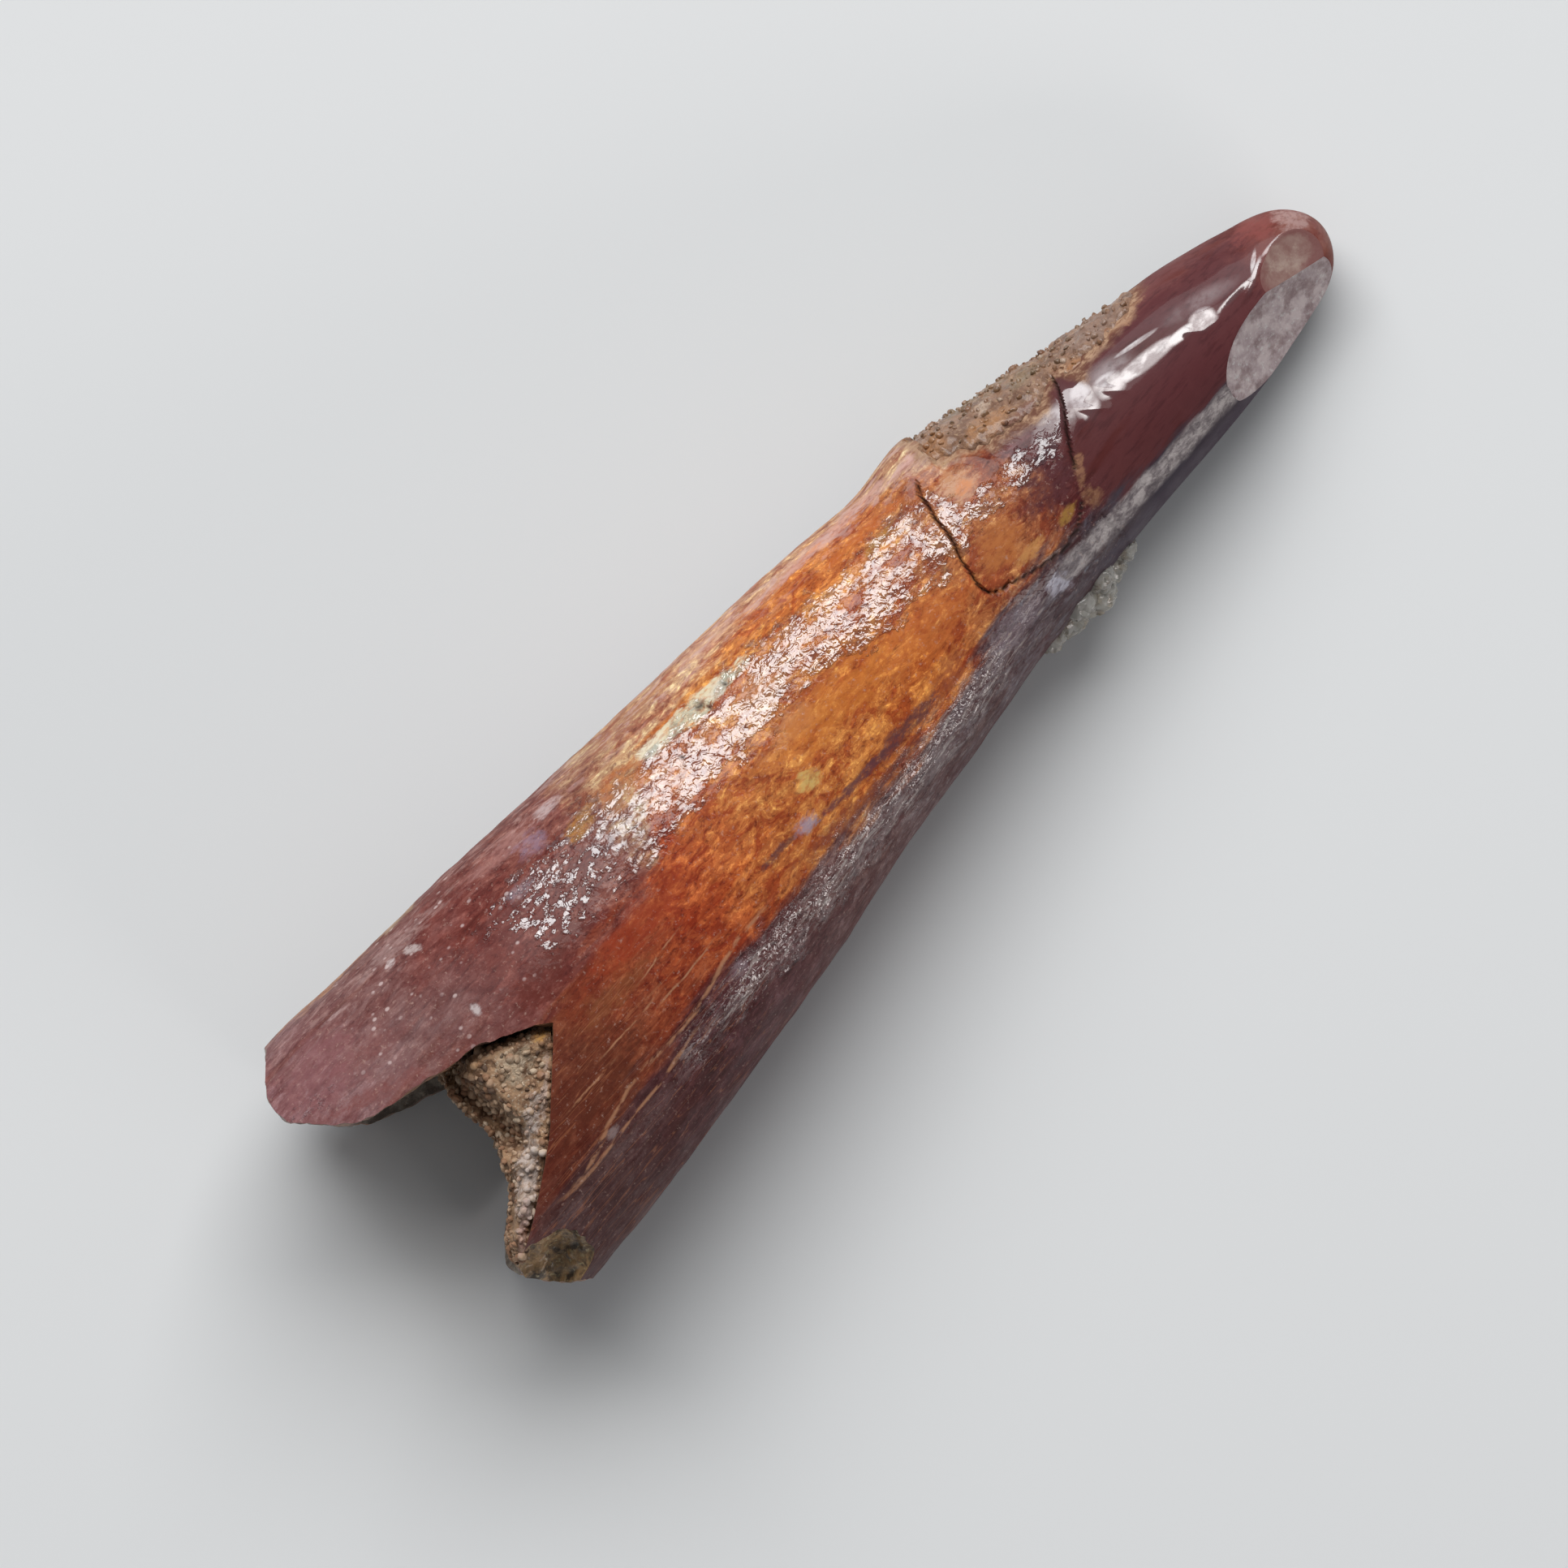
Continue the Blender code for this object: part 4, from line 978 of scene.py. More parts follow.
            cover = desk.times(cover, desk.math("SUBTRACT", 1.0, hole, clamp=True))
        deeper = desk.blend(band, colour, (0.58, 0.66, 0.74), "MULTIPLY")
        desk.shade({"Coat Weight": cover, "Base Color": deeper})
        short = desk.spots(point, (6.4, 6.0, 6.0), 2, 0.5, 0.6)
        long = desk.spots(point, (1.6, 2.2, 2.2), 2, 0.5, 0.5, shift=(2, 7, 4))
        smooth_part = desk.span(desk.plus(band, far_band), 0.02, 0.35, 0.25, 1.0)
        wrinkles = desk.times(desk.plus(short, desk.times(long, 0.9)), smooth_part)
        tamed = desk.times(wrinkles, desk.span(crown, 0.0, 1.0, 1.0, 0.03))
        desk.shade({"Coat Normal": desk.bump(tamed, gloss.wrinkle_depth)})
        grain = desk.spots(point, (2.5, 12.0, 12.0), 3, 0.6, shift=(1, 1, 7))
        grit = desk.times(desk.spots(point, 14.0, 3, 0.6), desk.plus(strip, 0.12))
        fibre = desk.times(grain, desk.span(crown, 0.0, 1.0, 0.35, 0.05))
        height = desk.plus(desk.plus(desk.times(tamed, 0.8), fibre), grit)
        desk.shade({"Normal": desk.bump(height, gloss.wrinkle_depth * 0.5)})


@dataclass(frozen=True)
class PlainFinish:
    """A material of one kind of surface: two colours in patches, and its own bumps.

    Attributes:
        name: The material's name.
        light: Linear colour of the paler parts.
        dark: Linear colour of the darker parts.
        per_mm: Patches for each millimetre.
        roughness: Its roughness.
        film: Weight of the clear film over it.
        bump: Depth of its bumps, in millimetres.
        bump_per_mm: Bumps for each millimetre.
        fleck: Linear colour of sparse flecks.
        flecks: How strong the flecks are.
        patches: Patches of other colours over it.
        face: Where its own pattern ends, and the colour round it.
    """

    name: str
    light: Colour
    dark: Colour
    per_mm: float = 3.0
    roughness: float = 0.6
    film: float = 0.0
    bump: float = 0.02
    bump_per_mm: float = 9.0
    fleck: Colour = (0.6, 0.5, 0.4)
    flecks: float = 0.0
    patches: tuple[ColourPatch, ...] = ()
    face: ColourPatch | None = None

    def build(self) -> bpy.types.Material:
        """The finished material."""
        material, desk, point = new_material(self.name)
        cloud = desk.spots(point, self.per_mm, 4, 0.62, 0.4)
        colour = desk.blend(desk.span(cloud, 0.36, 0.64), self.dark, self.light)
        if self.flecks:
            small = desk.spots(point, self.per_mm * 3.5, 3, 0.6, 0.3, shift=(4, 1, 8))
            colour = desk.blend(desk.times(desk.span(small, 0.56, 0.68), self.flecks), colour, self.fleck)
        colour = desk.patched(point, colour, self.patches)
        if self.face:
            ragged = desk.spots(point, 2.4, 4, 0.65)
            colour = desk.blend(desk.patch(point, ragged, ragged, self.face), self.face.colour, colour)
        normal = desk.bump(desk.spots(point, self.bump_per_mm, 4, 0.6), self.bump)
        desk.shade({"Base Color": colour, "Roughness": self.roughness, "Normal": normal})
        desk.shade({"Coat Weight": self.film, "Coat Roughness": 0.15})
        return material


@dataclass(frozen=True)
class WearFacet:
    """A slightly hollow flat worn on the tip, round a point of the surface.

    Attributes:
        along: Where its middle is along the tooth.
        angle: Where its middle is round the tooth, in degrees.
        depth: How deep the wear is at the middle.
        radius: Radius of the hollow.
        finish: What the worn face looks like.
    """

    along: float
    angle: float
    depth: float
    radius: float
    finish: PlainFinish

    def cutter(self, name: str) -> bpy.types.Object:
        """The large ball that grinds the facet and carries its material."""
        rings, count = 90, 180
        angle = np.array([math.radians(self.angle)])
        facing = FORM.normal(self.along, float(angle[0]))
        middle = Vector(FORM.ring(self.along, angle, 0.0)[0]) + facing * (self.radius - self.depth)
        turns = np.arange(count) * math.tau / count
        points = []
        for tilt in np.linspace(0, math.pi, rings + 1)[1:-1]:
            flat, up = math.sin(tilt), np.full(count, math.cos(tilt))
            points.append(np.stack((np.cos(turns) * flat, np.sin(turns) * flat, up), axis=1))
        unit = np.concatenate((*points, [(0, 0, 1), (0, 0, -1)]))
        top, bottom, last = len(unit) - 2, len(unit) - 1, (rings - 2) * count
        faces = ring_faces(rings - 1, count) + fan_faces(0, count, top, True) + fan_faces(last, count, bottom)
        mesh = mesh_of(name, FORM.placed_all(unit * self.radius + np.array(middle)), faces)
        mesh.materials.append(self.finish.build())
        return add_object(name, mesh)


@dataclass(frozen=True)
class Crack:
    """A crack in the tooth's outer layer.

    Attributes:
        path: Its corners, along and across.
        width: Half its width.
        depth: How deep it is.
    """

    path: Path
    width: float
    depth: float


@dataclass(frozen=True)
class Pit:
    """A small hole in the tooth's surface."""

    along: float
    across: float
    radius: float
    depth: float


@dataclass(frozen=True)
class BreakEdge:
    """One broken edge of the root's wall.

    Attributes:
        outline: Its corners seen from above, from the +Y prong round to the -Y prong.
        bottom: Height at which the cut starts.
        top: Height at which it ends.
        jag: How far its small teeth reach.
        lean: How far the face leans out for each millimetre below the tooth's top.
        most_lean: The most that it leans out.
    """

    outline: Path
    bottom: float
    top: float
    jag: float = 0.045
    lean: float = 0.07
    most_lean: float = 0.2

    def cutter(self, name: str, finish: bpy.types.Material) -> bpy.types.Object:
        """An upright block whose +X side is the rough broken face, in the finish."""
        step, level_step, start = 0.09, 0.13, -2.0
        line = evenly(np.array(self.outline), step)
        rings = []
        for up in np.linspace(self.bottom, self.top, int((self.top - self.bottom) / level_step)):
            spots = np.column_stack((line, np.full(len(line), up)))
            rough = self.jag * 1.5 * noise_at(spots, 0.42, 3.0) + self.jag * noise_at(spots, 0.17, 8.0)
            lean = min(max(self.lean * (FORM.section(1.0).half_depth * 2 - up), 0.0), self.most_lean)
            lean_along = lean * smoothstep(0.3, 1.1, line[:, 0]) * smoothstep(-3.0, -2.6, line[:, 1])
            moved = line + np.column_stack((rough - lean_along, rough * 0.4))
            ring = np.vstack(((start, moved[0][1]), moved, (start, moved[-1][1])))
            rings.append(np.column_stack((ring, np.full(len(ring), up))))
        made = self.block(name, rings)
        made.data.materials.append(finish)
        return made

    def prism(self, name: str) -> bpy.types.Object:
        """An upright block whose whole outline is the closed path, slightly rough."""
        line = evenly(np.array(self.outline + self.outline[:1]), 0.07, endpoint=False)
        rough = self.jag * noise_at(np.column_stack((line, np.zeros(len(line)))), 0.2, 5.0)
        line += np.column_stack((rough, rough))
        ends = (self.bottom, self.top)
        return self.block(name, [np.column_stack((line, np.full(len(line), up))) for up in ends])

    def block(self, name: str, rings: list[np.ndarray]) -> bpy.types.Object:
        """A closed block through the rings of points."""
        count, last = len(rings[0]), (len(rings) - 1) * len(rings[0])
        ends = [tuple(range(count)), tuple(reversed(range(last, last + count)))]
        mesh = mesh_of(name, FORM.placed_all(np.concatenate(rings)), ring_faces(len(rings), count) + ends)
        fix_normals(mesh)
        return add_object(name, mesh)


def fix_normals(mesh: bpy.types.Mesh) -> None:
    """Turns every face of a closed mesh outwards."""
    work = bmesh.new()
    work.from_mesh(mesh)
    bmesh.ops.recalc_face_normals(work, faces=work.faces)
    work.to_mesh(mesh)
    work.free()


DENTINE_BREAK = PlainFinish(
    "broken_dentine", (0.33, 0.16, 0.085), (0.085, 0.045, 0.03), 2.4, 0.55, 0.25, 0.05, 6.0, (0.42, 0.3, 0.22), 0.5
)
CAVITY_LINING = PlainFinish(
    "cavity_lining", (0.34, 0.3, 0.25), (0.13, 0.1, 0.08), 2.2, 0.8, 0.0, 0.05, 7.0, (0.55, 0.48, 0.4), 0.6
)
CHIPPED_END = PlainFinish(
    "chipped_end", (0.43, 0.26, 0.12), (0.06, 0.038, 0.02), 3.0, 0.6, 0.3, 0.06, 6.0, (0.52, 0.42, 0.24), 0.7
)
SIDE_WEAR = PlainFinish(
    "side_wear", (0.5, 0.415, 0.41), (0.33, 0.255, 0.26), 2.6, 0.55, 0.0, 0.01, 14.0, (0.58, 0.57, 0.55), 0.6,
    face=ColourPatch("grey worn face", 24.92, -1.66, 2.15, 0.92, (0.1, 0.032, 0.034), 1.0, 2, 0.22, 0.9),
)
END_WEAR = PlainFinish(
    "end_wear", (0.33, 0.235, 0.195), (0.24, 0.142, 0.118), 3.5, 0.5, 0.15, 0.008, 12.0, (0.36, 0.26, 0.2), 0.4,
    face=ColourPatch("brown worn face", 25.97, -0.84, 0.76, 0.5, (0.17, 0.062, 0.055), 1.0, 0, 0.5, 1.3),
)


@dataclass
class Tooth:
    """Root and crown, one piece, with its break, wear, cracks and pits.

    Attributes:
        upper_break: The break through the upper wall.
        lower_break: The break through the lower wall, which reaches less far.
        facets: The wear facets on the tip.
        cracks: The cracks between the plates of the outer layer.
        scales: Low edges of thin scales of the outer layer, along and across.
        pits: Small holes.
        crust: The sand crust, whose edge stains the tooth.
    """

    form: ToothForm
    upper_break: BreakEdge
    lower_break: BreakEdge
    facets: tuple[WearFacet, ...]
    cracks: tuple[Crack, ...]
    scales: tuple[Path, ...]
    pits: tuple[Pit, ...]
    crust: "SandCrust | None" = None
    strip_path: Path = ((18.4, -1.66), (20.0, -1.7), (22.0, -1.74), (23.2, -1.76))
    strip_half_width: float = 0.22
    crown_start: Path = ((19.7, -1.6), (20.0, -0.45), (20.2, -0.16), (20.8, 0.5), (21.1, 1.1), (21.4, 1.6))
    upper_points: int = 124
    lower_points: int = 70
    cavity_half_width: float = 2.85
    cavity_half_depth: float = 2.15
    cavity_end: float = 10.4
    cavity_power: float = 1.7
    chip_centre: tuple[float, float, float] = (0.95, -3.3, 5.1)
    chip_radii: tuple[float, float, float] = (1.35, 0.9, 1.35)

    def angles(self) -> np.ndarray:
        """Angles once round a section, closer together on the upper side."""
        upper = np.linspace(math.radians(-25), math.radians(205), self.upper_points, endpoint=False)
        lower = np.linspace(math.radians(205), math.radians(335), self.lower_points, endpoint=False)
        return np.concatenate((upper, lower))

    def stations(self) -> list[float]:
        """Where the rings stand: close together round the cracks, wider on the root."""
        tip_start = self.form.length - self.form.tip_round_length
        stretches = ((ROOT_START, 16.7, 0.078), (16.7, 21.4, 0.036), (21.4, tip_start, 0.062))
        places: list[float] = []
        for start, end, step in stretches:
            count = round((end - start) / step)
            places += [start + (end - start) * i / count for i in range(count)]
        rings = 26
        tip = self.form.tip_round_length
        places += [tip_start + tip * math.sin(math.pi / 2 * i / rings) for i in range(rings)]
        return places

    def relief(self, points: np.ndarray) -> np.ndarray:
        """Height of the fine relief at each point of the surface.

        Args:
            points: Along, across and up, one a row.

        Returns:
            Heights over the swelling surface, in millimetres.
        """
        along, across = points[:, 0], points[:, 1]
        flat = points[:, :2]
        top = self.top_mask(points)
        crown = smoothstep(-0.05, 0.05, along - self.crown_edge(across))
        stretched = points * (0.45, 1.0, 1.0)
        dents = noise_at(points, 1.7, 4.0) * 0.02
        peel = noise_at(points, 0.55, 9.0) * 0.014 + noise_at(points, 0.3, 2.0) * 0.007
        fluted = smoothstep(-0.9, -1.9, across) * smoothstep(18.0, 15.5, along)
        flutes = noise_at(stretched, 0.34, 6.0) * 0.018 * fluted
        height = dents * (1 - 0.55 * crown) + (peel + flutes) * (1 - crown)
        height += crown * top * 0.035
        for crack in self.cracks:
            off = path_distance(flat, crack.path)
            height -= top * crack.depth * smoothstep(crack.width * 1.9, crack.width * 0.3, off)
            height += top * 0.02 * smoothstep(0.5, 0.1, off) * smoothstep(crack.width, crack.width * 2.4, off)
        for scale in self.scales:
            off = path_distance(flat, scale)
            height += top * (0.03 - 0.022 * crown) * smoothstep(0.11, 0.0, off)
        for pit in self.pits:
            off = np.hypot(along - pit.along, across - pit.across)
            height -= top * pit.depth * smoothstep(pit.radius, pit.radius * 0.35, off)
        strip = self.strip_mask(points)
        height += strip * (noise_at(points, 0.2, 5.0) * 0.016 - 0.02)
        return height

    def crown_edge(self, across: np.ndarray) -> np.ndarray:
        """Where the smooth crown starts, for each place across."""
        corners = np.array(self.crown_start)
        return np.interp(across, corners[:, 1], corners[:, 0])

    def top_mask(self, points: np.ndarray) -> np.ndarray:
        """1 on the side that faces up and 0 below."""
        stations = (0.0, 10.0, 18.0, 24.0, 27.0)
        middle = np.interp(points[:, 0], stations, [self.form.section(a).centre_up for a in stations])
        return smoothstep(-0.1, 0.25, points[:, 2] - middle)

    def strip_mask(self, points: np.ndarray) -> np.ndarray:
        """1 on the grey strip worn along the crown's -Y side."""
        off = path_distance(points[:, :2], self.strip_path)
        off += noise_at(points, 0.5, 7.0) * 0.06
        half = self.strip_half_width
        return smoothstep(half, half - 0.09, off) * self.top_mask(points)

    def shell(self) -> bpy.types.Object:
        """The whole tooth before the break."""
        form, angles = self.form, self.angles()
        rings = [(along, form.base_heights(along, angles)) for along in self.stations()]
        relief = self.relief(np.concatenate([form.ring(along, angles, base) for along, base in rings]))
        count = len(angles)
        points = []
        for (along, base), rise in zip(rings, relief.reshape(-1, count)):
            fade = smoothstep(form.length - 0.02, form.length - 0.5, along)
            points.append(form.ring(along, angles, base + rise * fade))
        end = form.section(form.length)
        points.append(np.array([[form.length, end.centre_across, end.centre_up]]))
        places = np.concatenate(points)
        places[:, 2] = np.maximum(places[:, 2], 0.0)
        last, tip = (len(rings) - 1) * count, len(places) - 1
        faces = ring_faces(len(rings), count) + fan_faces(last, count, tip)
        faces.append(tuple(reversed(range(count))))
        mesh = mesh_of("tooth_surface", form.placed_all(places), faces)
        mesh.materials.append(ToothFinish(ToothColours(), ToothGloss()).build())
        return add_object("tooth_surface", mesh)

    def cavity_ring(self, along: float, angles: np.ndarray) -> np.ndarray:
        """A ring of points on the pulp cavity's wall."""
        share = max(1 - (max(along, 0.0) / self.cavity_end) ** self.cavity_power, 0.0)
        middle = self.form.section(along)
        across = middle.centre_across + max(self.cavity_half_width * share, 0.02) * np.cos(angles)
        up = middle.centre_up + max(self.cavity_half_depth * share, 0.02) * np.sin(angles)
        return np.stack((np.full(len(angles), along), across, up), axis=1)

    def cavity_cutter(self) -> bpy.types.Object:
        """The pulp cavity, open past the root's end, with a rough wall."""
        count, rings = 120, 70
        angles = np.arange(count) * math.tau / count
        stations = [-1.5] + [self.cavity_end * math.sin(math.pi / 2 * i / rings) for i in range(rings)]
        points = np.concatenate([self.cavity_ring(along, angles) for along in stations])
        rough = 1 + 0.03 * noise_at(points, 0.6, 12.0) + 0.015 * noise_at(points, 0.25, 1.0)
        middles = np.array([[0.0, *self.middle(along)] for along in stations]).repeat(count, axis=0)
        points[:, 1:] = middles[:, 1:] + (points[:, 1:] - middles[:, 1:]) * rough[:, None]
        end = np.array([[self.cavity_end, *self.middle(self.cavity_end)]])
        last = (len(stations) - 1) * count
        faces = ring_faces(len(stations), count) + fan_faces(last, count, last + count)
        faces.append(tuple(reversed(range(count))))
        mesh = mesh_of("pulp_cavity_cutter", FORM.placed_all(np.concatenate((points, end))), faces)
        mesh.materials.append(CAVITY_LINING.build())
        return add_object("pulp_cavity_cutter", mesh)

    def middle(self, along: float) -> tuple[float, float]:
        """The section's centre, across and up."""
        section = self.form.section(along)
        return section.centre_across, section.centre_up

    def chip_cutter(self) -> bpy.types.Object:
        """A rough lump that takes the chip out of the -Y prong's end."""
        lump = rough_ball("prong_chip_cutter", self.chip_centre, self.chip_radii, 0.16, 5, 3.1)
        lump.data.materials.append(CHIPPED_END.build())
        return lump

    def build(self) -> bpy.types.Object:
        """The tooth with its cavity, breaks, chip and wear facets cut."""
        tooth = self.shell()
        broken = DENTINE_BREAK.build()
        boolean(tooth, self.cavity_cutter(), "DIFFERENCE")
        boolean(tooth, self.upper_break.cutter("upper_break_cutter", broken), "DIFFERENCE")
        boolean(tooth, self.lower_break.cutter("lower_break_cutter", broken), "DIFFERENCE")
        boolean(tooth, self.chip_cutter(), "DIFFERENCE")
        for number, facet in enumerate(self.facets, 1):
            boolean(tooth, facet.cutter(f"wear_cutter_{number}"), "DIFFERENCE")
        self.mark(tooth.data)
        smooth(tooth, 38)
        return tooth

    def mark(self, mesh: bpy.types.Mesh) -> None:
        """Writes the masks that the material reads.

        Args:
            mesh: The finished tooth.
        """
        points = self.form.measured(vertex_places(mesh))
        flat, top = points[:, :2], self.top_mask(points)
        stations = np.linspace(0.0, self.form.length, 60)
        depths = np.array([self.form.section(a).centre_up + self.form.section(a).half_depth for a in stations])
        set_attribute(mesh, "up_share", points[:, 2] / np.interp(points[:, 0], stations, depths))
        set_attribute(mesh, "worn_strip", self.strip_mask(points))
        set_attribute(mesh, "sand_stain", self.crust.stain(points) if self.crust else np.zeros(len(points)))
        crack = np.zeros(len(points))
        for line in self.cracks:
            off = path_distance(flat, line.path)
            crack = np.maximum(crack, smoothstep(line.width * 1.5, line.width * 0.6, off))
        set_attribute(mesh, "crack", crack * top)
        pits = np.zeros(len(points))
        for pit in self.pits:
            off = np.hypot(points[:, 0] - pit.along, points[:, 1] - pit.across)
            pits = np.maximum(pits, smoothstep(pit.radius * 1.1, pit.radius * 0.6, off))
        set_attribute(mesh, "pit", pits * top)

    def dress(self, tooth: bpy.types.Object) -> None:
        """Puts the tooth in the place of its solid."""
        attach(tooth, BODY)
        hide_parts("tooth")


def rough_ball(
    name: str,
    centre: tuple[float, float, float],
    radii: tuple[float, float, float],
    rough: float,
    subdivisions: int,
    seed: float,
) -> bpy.types.Object:
    """A lumpy closed ball.

    Args:
        name: The object's name.
        centre: Its middle, along, across and up.
        radii: Its half sizes.
        rough: How strong its lumps are, as a share of its size.
        subdivisions: How fine it is.
        seed: Which lumps it gets.

    Returns:
        The ball.
    """
    work = bmesh.new()
    bmesh.ops.create_icosphere(work, subdivisions=subdivisions, radius=1.0)
    mesh = bpy.data.meshes.new(name)
    work.to_mesh(mesh)
    work.free()
    unit = vertex_places(mesh)
    lumps = 1 + rough * noise_at(unit, 0.45, seed) + rough * 0.5 * noise_at(unit, 0.19, seed + 4)
    places = FORM.placed_all(np.array(centre) + unit * np.array(radii) * lumps[:, None])
    mesh.vertices.foreach_set("co", places.astype(np.float32).ravel())
    mesh.update()
    return add_object(name, mesh)


@dataclass
class SandScatter:
    """Geometry Nodes that scatter irregular grains of sand over a base and keep the base.

    Attributes:
        per_mm2: The most grains for each square millimetre.
        radius: A mean grain's radius, in millimetres.
        spread: How much the sizes differ, from 0 to 1.
        apart: The least distance between grains' middles.
        seed: The scatter's seed.
    """

    per_mm2: float
    radius: float
    spread: float
    apart: float
    seed: int

    def draw(self, desk: NodeDesk, low, high, seed: Socket) -> Socket:
        """A random number for each grain, or a random vector where high is a vector."""
        one = isinstance(high, float)
        first, kind = (2, "FLOAT") if one else (0, "FLOAT_VECTOR")
        node = desk.add("FunctionNodeRandomValue", {first: low, first + 1: high, "Seed": seed}, data_type=kind)
        return node.outputs[1 if one else 0]

    def grains(self, desk: NodeDesk, given) -> Socket:
        """The grains as instances on the base, each with its own tone.

        Args:
            desk: The tree's desk.
            given: The sockets of the tree's inputs.

        Returns:
            The instances' socket.
        """
        spread, radius, seed = given["Size spread"], given["Grain radius"], given["Seed"]
        share = desk.add("GeometryNodeInputNamedAttribute", {"Name": "sand_share"}, data_type="FLOAT")
        places = {
            "Mesh": given["Geometry"],
            "Distance Min": given["Least distance"],
            "Density Max": given["Grains per area"],
            "Density Factor": share.outputs["Attribute"],
            "Seed": seed,
        }
        points = desk.add("GeometryNodeDistributePointsOnFaces", distribute_method="POISSON")
        desk.feed(points, places)
        ball = desk.add("GeometryNodeMeshIcoSphere", {"Radius": 1.0, "Subdivisions": 2})
        size = self.draw(desk, desk.minus(1.0, spread), desk.plus(1.0, spread), seed)
        whole = self.draw(desk, 0.55, 1.45, desk.plus(seed, 11.0))
        scaled = desk.scaled(size, desk.times(whole, radius))
        turn = self.draw(desk, (0.0, 0.0, 0.0), (math.tau,) * 3, desk.plus(seed, 5.0))
        instances = desk.add("GeometryNodeInstanceOnPoints", {"Rotation": turn, "Scale": scaled})
        desk.feed(instances, {"Points": points.outputs["Points"], "Instance": ball.outputs["Mesh"]})
        placed = instances.outputs["Instances"]
        tone = self.draw(desk, 0.05, 1.0, desk.plus(seed, 23.0))
        toned = desk.add("GeometryNodeStoreNamedAttribute", data_type="FLOAT", domain="INSTANCE")
        desk.feed(toned, {"Name": "grain_tone", "Geometry": placed, "Value": tone})
        return toned.outputs["Geometry"]

    def tree(self, finish: bpy.types.Material) -> bpy.types.NodeTree:
        """The scatter's node tree, whose sizes are named inputs, with the grains' material."""
        sizes = dict.fromkeys(("Grains per area", "Grain radius", "Size spread", "Least distance"), "Float")
        inputs = {"Geometry": "Geometry"} | sizes | {"Seed": "Int"}
        desk = new_group("sand_scatter", "GeometryNodeTree", inputs, ("Geometry", "Geometry"))
        given = desk.add("NodeGroupInput").outputs
        joined = desk.add("GeometryNodeJoinGeometry", {"Geometry": self.grains(desk, given)})
        desk.feed(joined, {"Geometry": given["Geometry"]})
        real = desk.add("GeometryNodeRealizeInstances", {"Geometry": joined.outputs["Geometry"]})
        tone = desk.add("GeometryNodeInputNamedAttribute", {"Name": "grain_tone"}, data_type="FLOAT")
        chosen = desk.math("GREATER_THAN", tone.outputs["Attribute"], 0.01)
        place = desk.add("GeometryNodeInputPosition").outputs[0]
        rough = desk.add("ShaderNodeTexNoise", {"Scale": 0.8 / (self.radius * MM), "Vector": place})
        centred = desk.vector("SUBTRACT", rough.outputs["Color"], (0.5, 0.5, 0.5))
        offset = desk.scaled(centred, desk.times(given["Grain radius"], 1.5))
        sources = {"Geometry": real.outputs["Geometry"], "Selection": chosen, "Offset": offset}
        moved = desk.add("GeometryNodeSetPosition", sources).outputs["Geometry"]
        sources = {"Material": finish, "Geometry": moved, "Selection": chosen}
        dressed = desk.add("GeometryNodeSetMaterial", sources)
        desk.add("NodeGroupOutput", {"Geometry": dressed.outputs["Geometry"]})
        return desk.tree

    def apply(self, base: bpy.types.Object, finish: bpy.types.Material) -> None:
        """Scatters the grains over the base, which becomes one plain mesh with them.

        Args:
            base: The object, with an attribute sand_share that says where grains may lie.
            finish: The grains' material.
        """
        modifier = base.modifiers.new("sand_scatter", "NODES")
        modifier.node_group = self.tree(finish)
        values = {
            "Grains per area": self.per_mm2 / MM**2,
            "Grain radius": self.radius * MM,
            "Size spread": self.spread,
            "Least distance": self.apart * MM,
            "Seed": self.seed,
        }
        for item in modifier.node_group.interface.items_tree:
            if item.name in values:
                modifier[item.identifier] = values[item.name]
        settle(base)


@dataclass(frozen=True)
class SandFinish:
    """Grains of sand in several tones, and the cement between them.

    Attributes:
        name: The materials' name.
        tones: Share and linear colour of each kind of grain.
        cement: Linear colours of the cement, dark and light.
        grain_roughness: Roughness of the grains.
        film: Weight of the clear film over them.
        patches: Patches of other colours over grains and cement.
    """

    name: str
    tones: tuple[tuple[float, Colour], ...]
    cement: tuple[Colour, Colour]
    grain_roughness: float
    film: float
    patches: tuple[ColourPatch, ...]

    def grains(self) -> bpy.types.Material:
        """The grains' material."""
        material, desk, point = new_material(f"{self.name}_grains")
        colour = desk.ramp(desk.attribute("grain_tone"), self.tones)
        colour.node.color_ramp.interpolation = "CONSTANT"
        stain = desk.times(desk.span(desk.spots(point, 7.0, 4, 0.65, 0.3), 0.45, 0.66), 0.7)
        colour = desk.blend(stain, colour, (0.55, 0.48, 0.4), "MULTIPLY")
        colour = desk.patched(point, colour, self.patches)
        normal = desk.bump(desk.spots(point, 16.0, 3, 0.6), 0.02)
        desk.shade({"Base Color": colour, "Roughness": self.grain_roughness, "Normal": normal})
        desk.shade({"Coat Weight": self.film, "Coat Roughness": 0.12})
        return material

    def base(self, fleck: Colour) -> bpy.types.Material:
        """The cement's material."""
        dark, light = self.cement
        rough, name = self.grain_roughness + 0.1, f"{self.name}_cement"
        own = (3.4, rough, self.film, 0.07, 8.0, fleck, 0.6, self.patches)
        return PlainFinish(name, light, dark, *own).build()


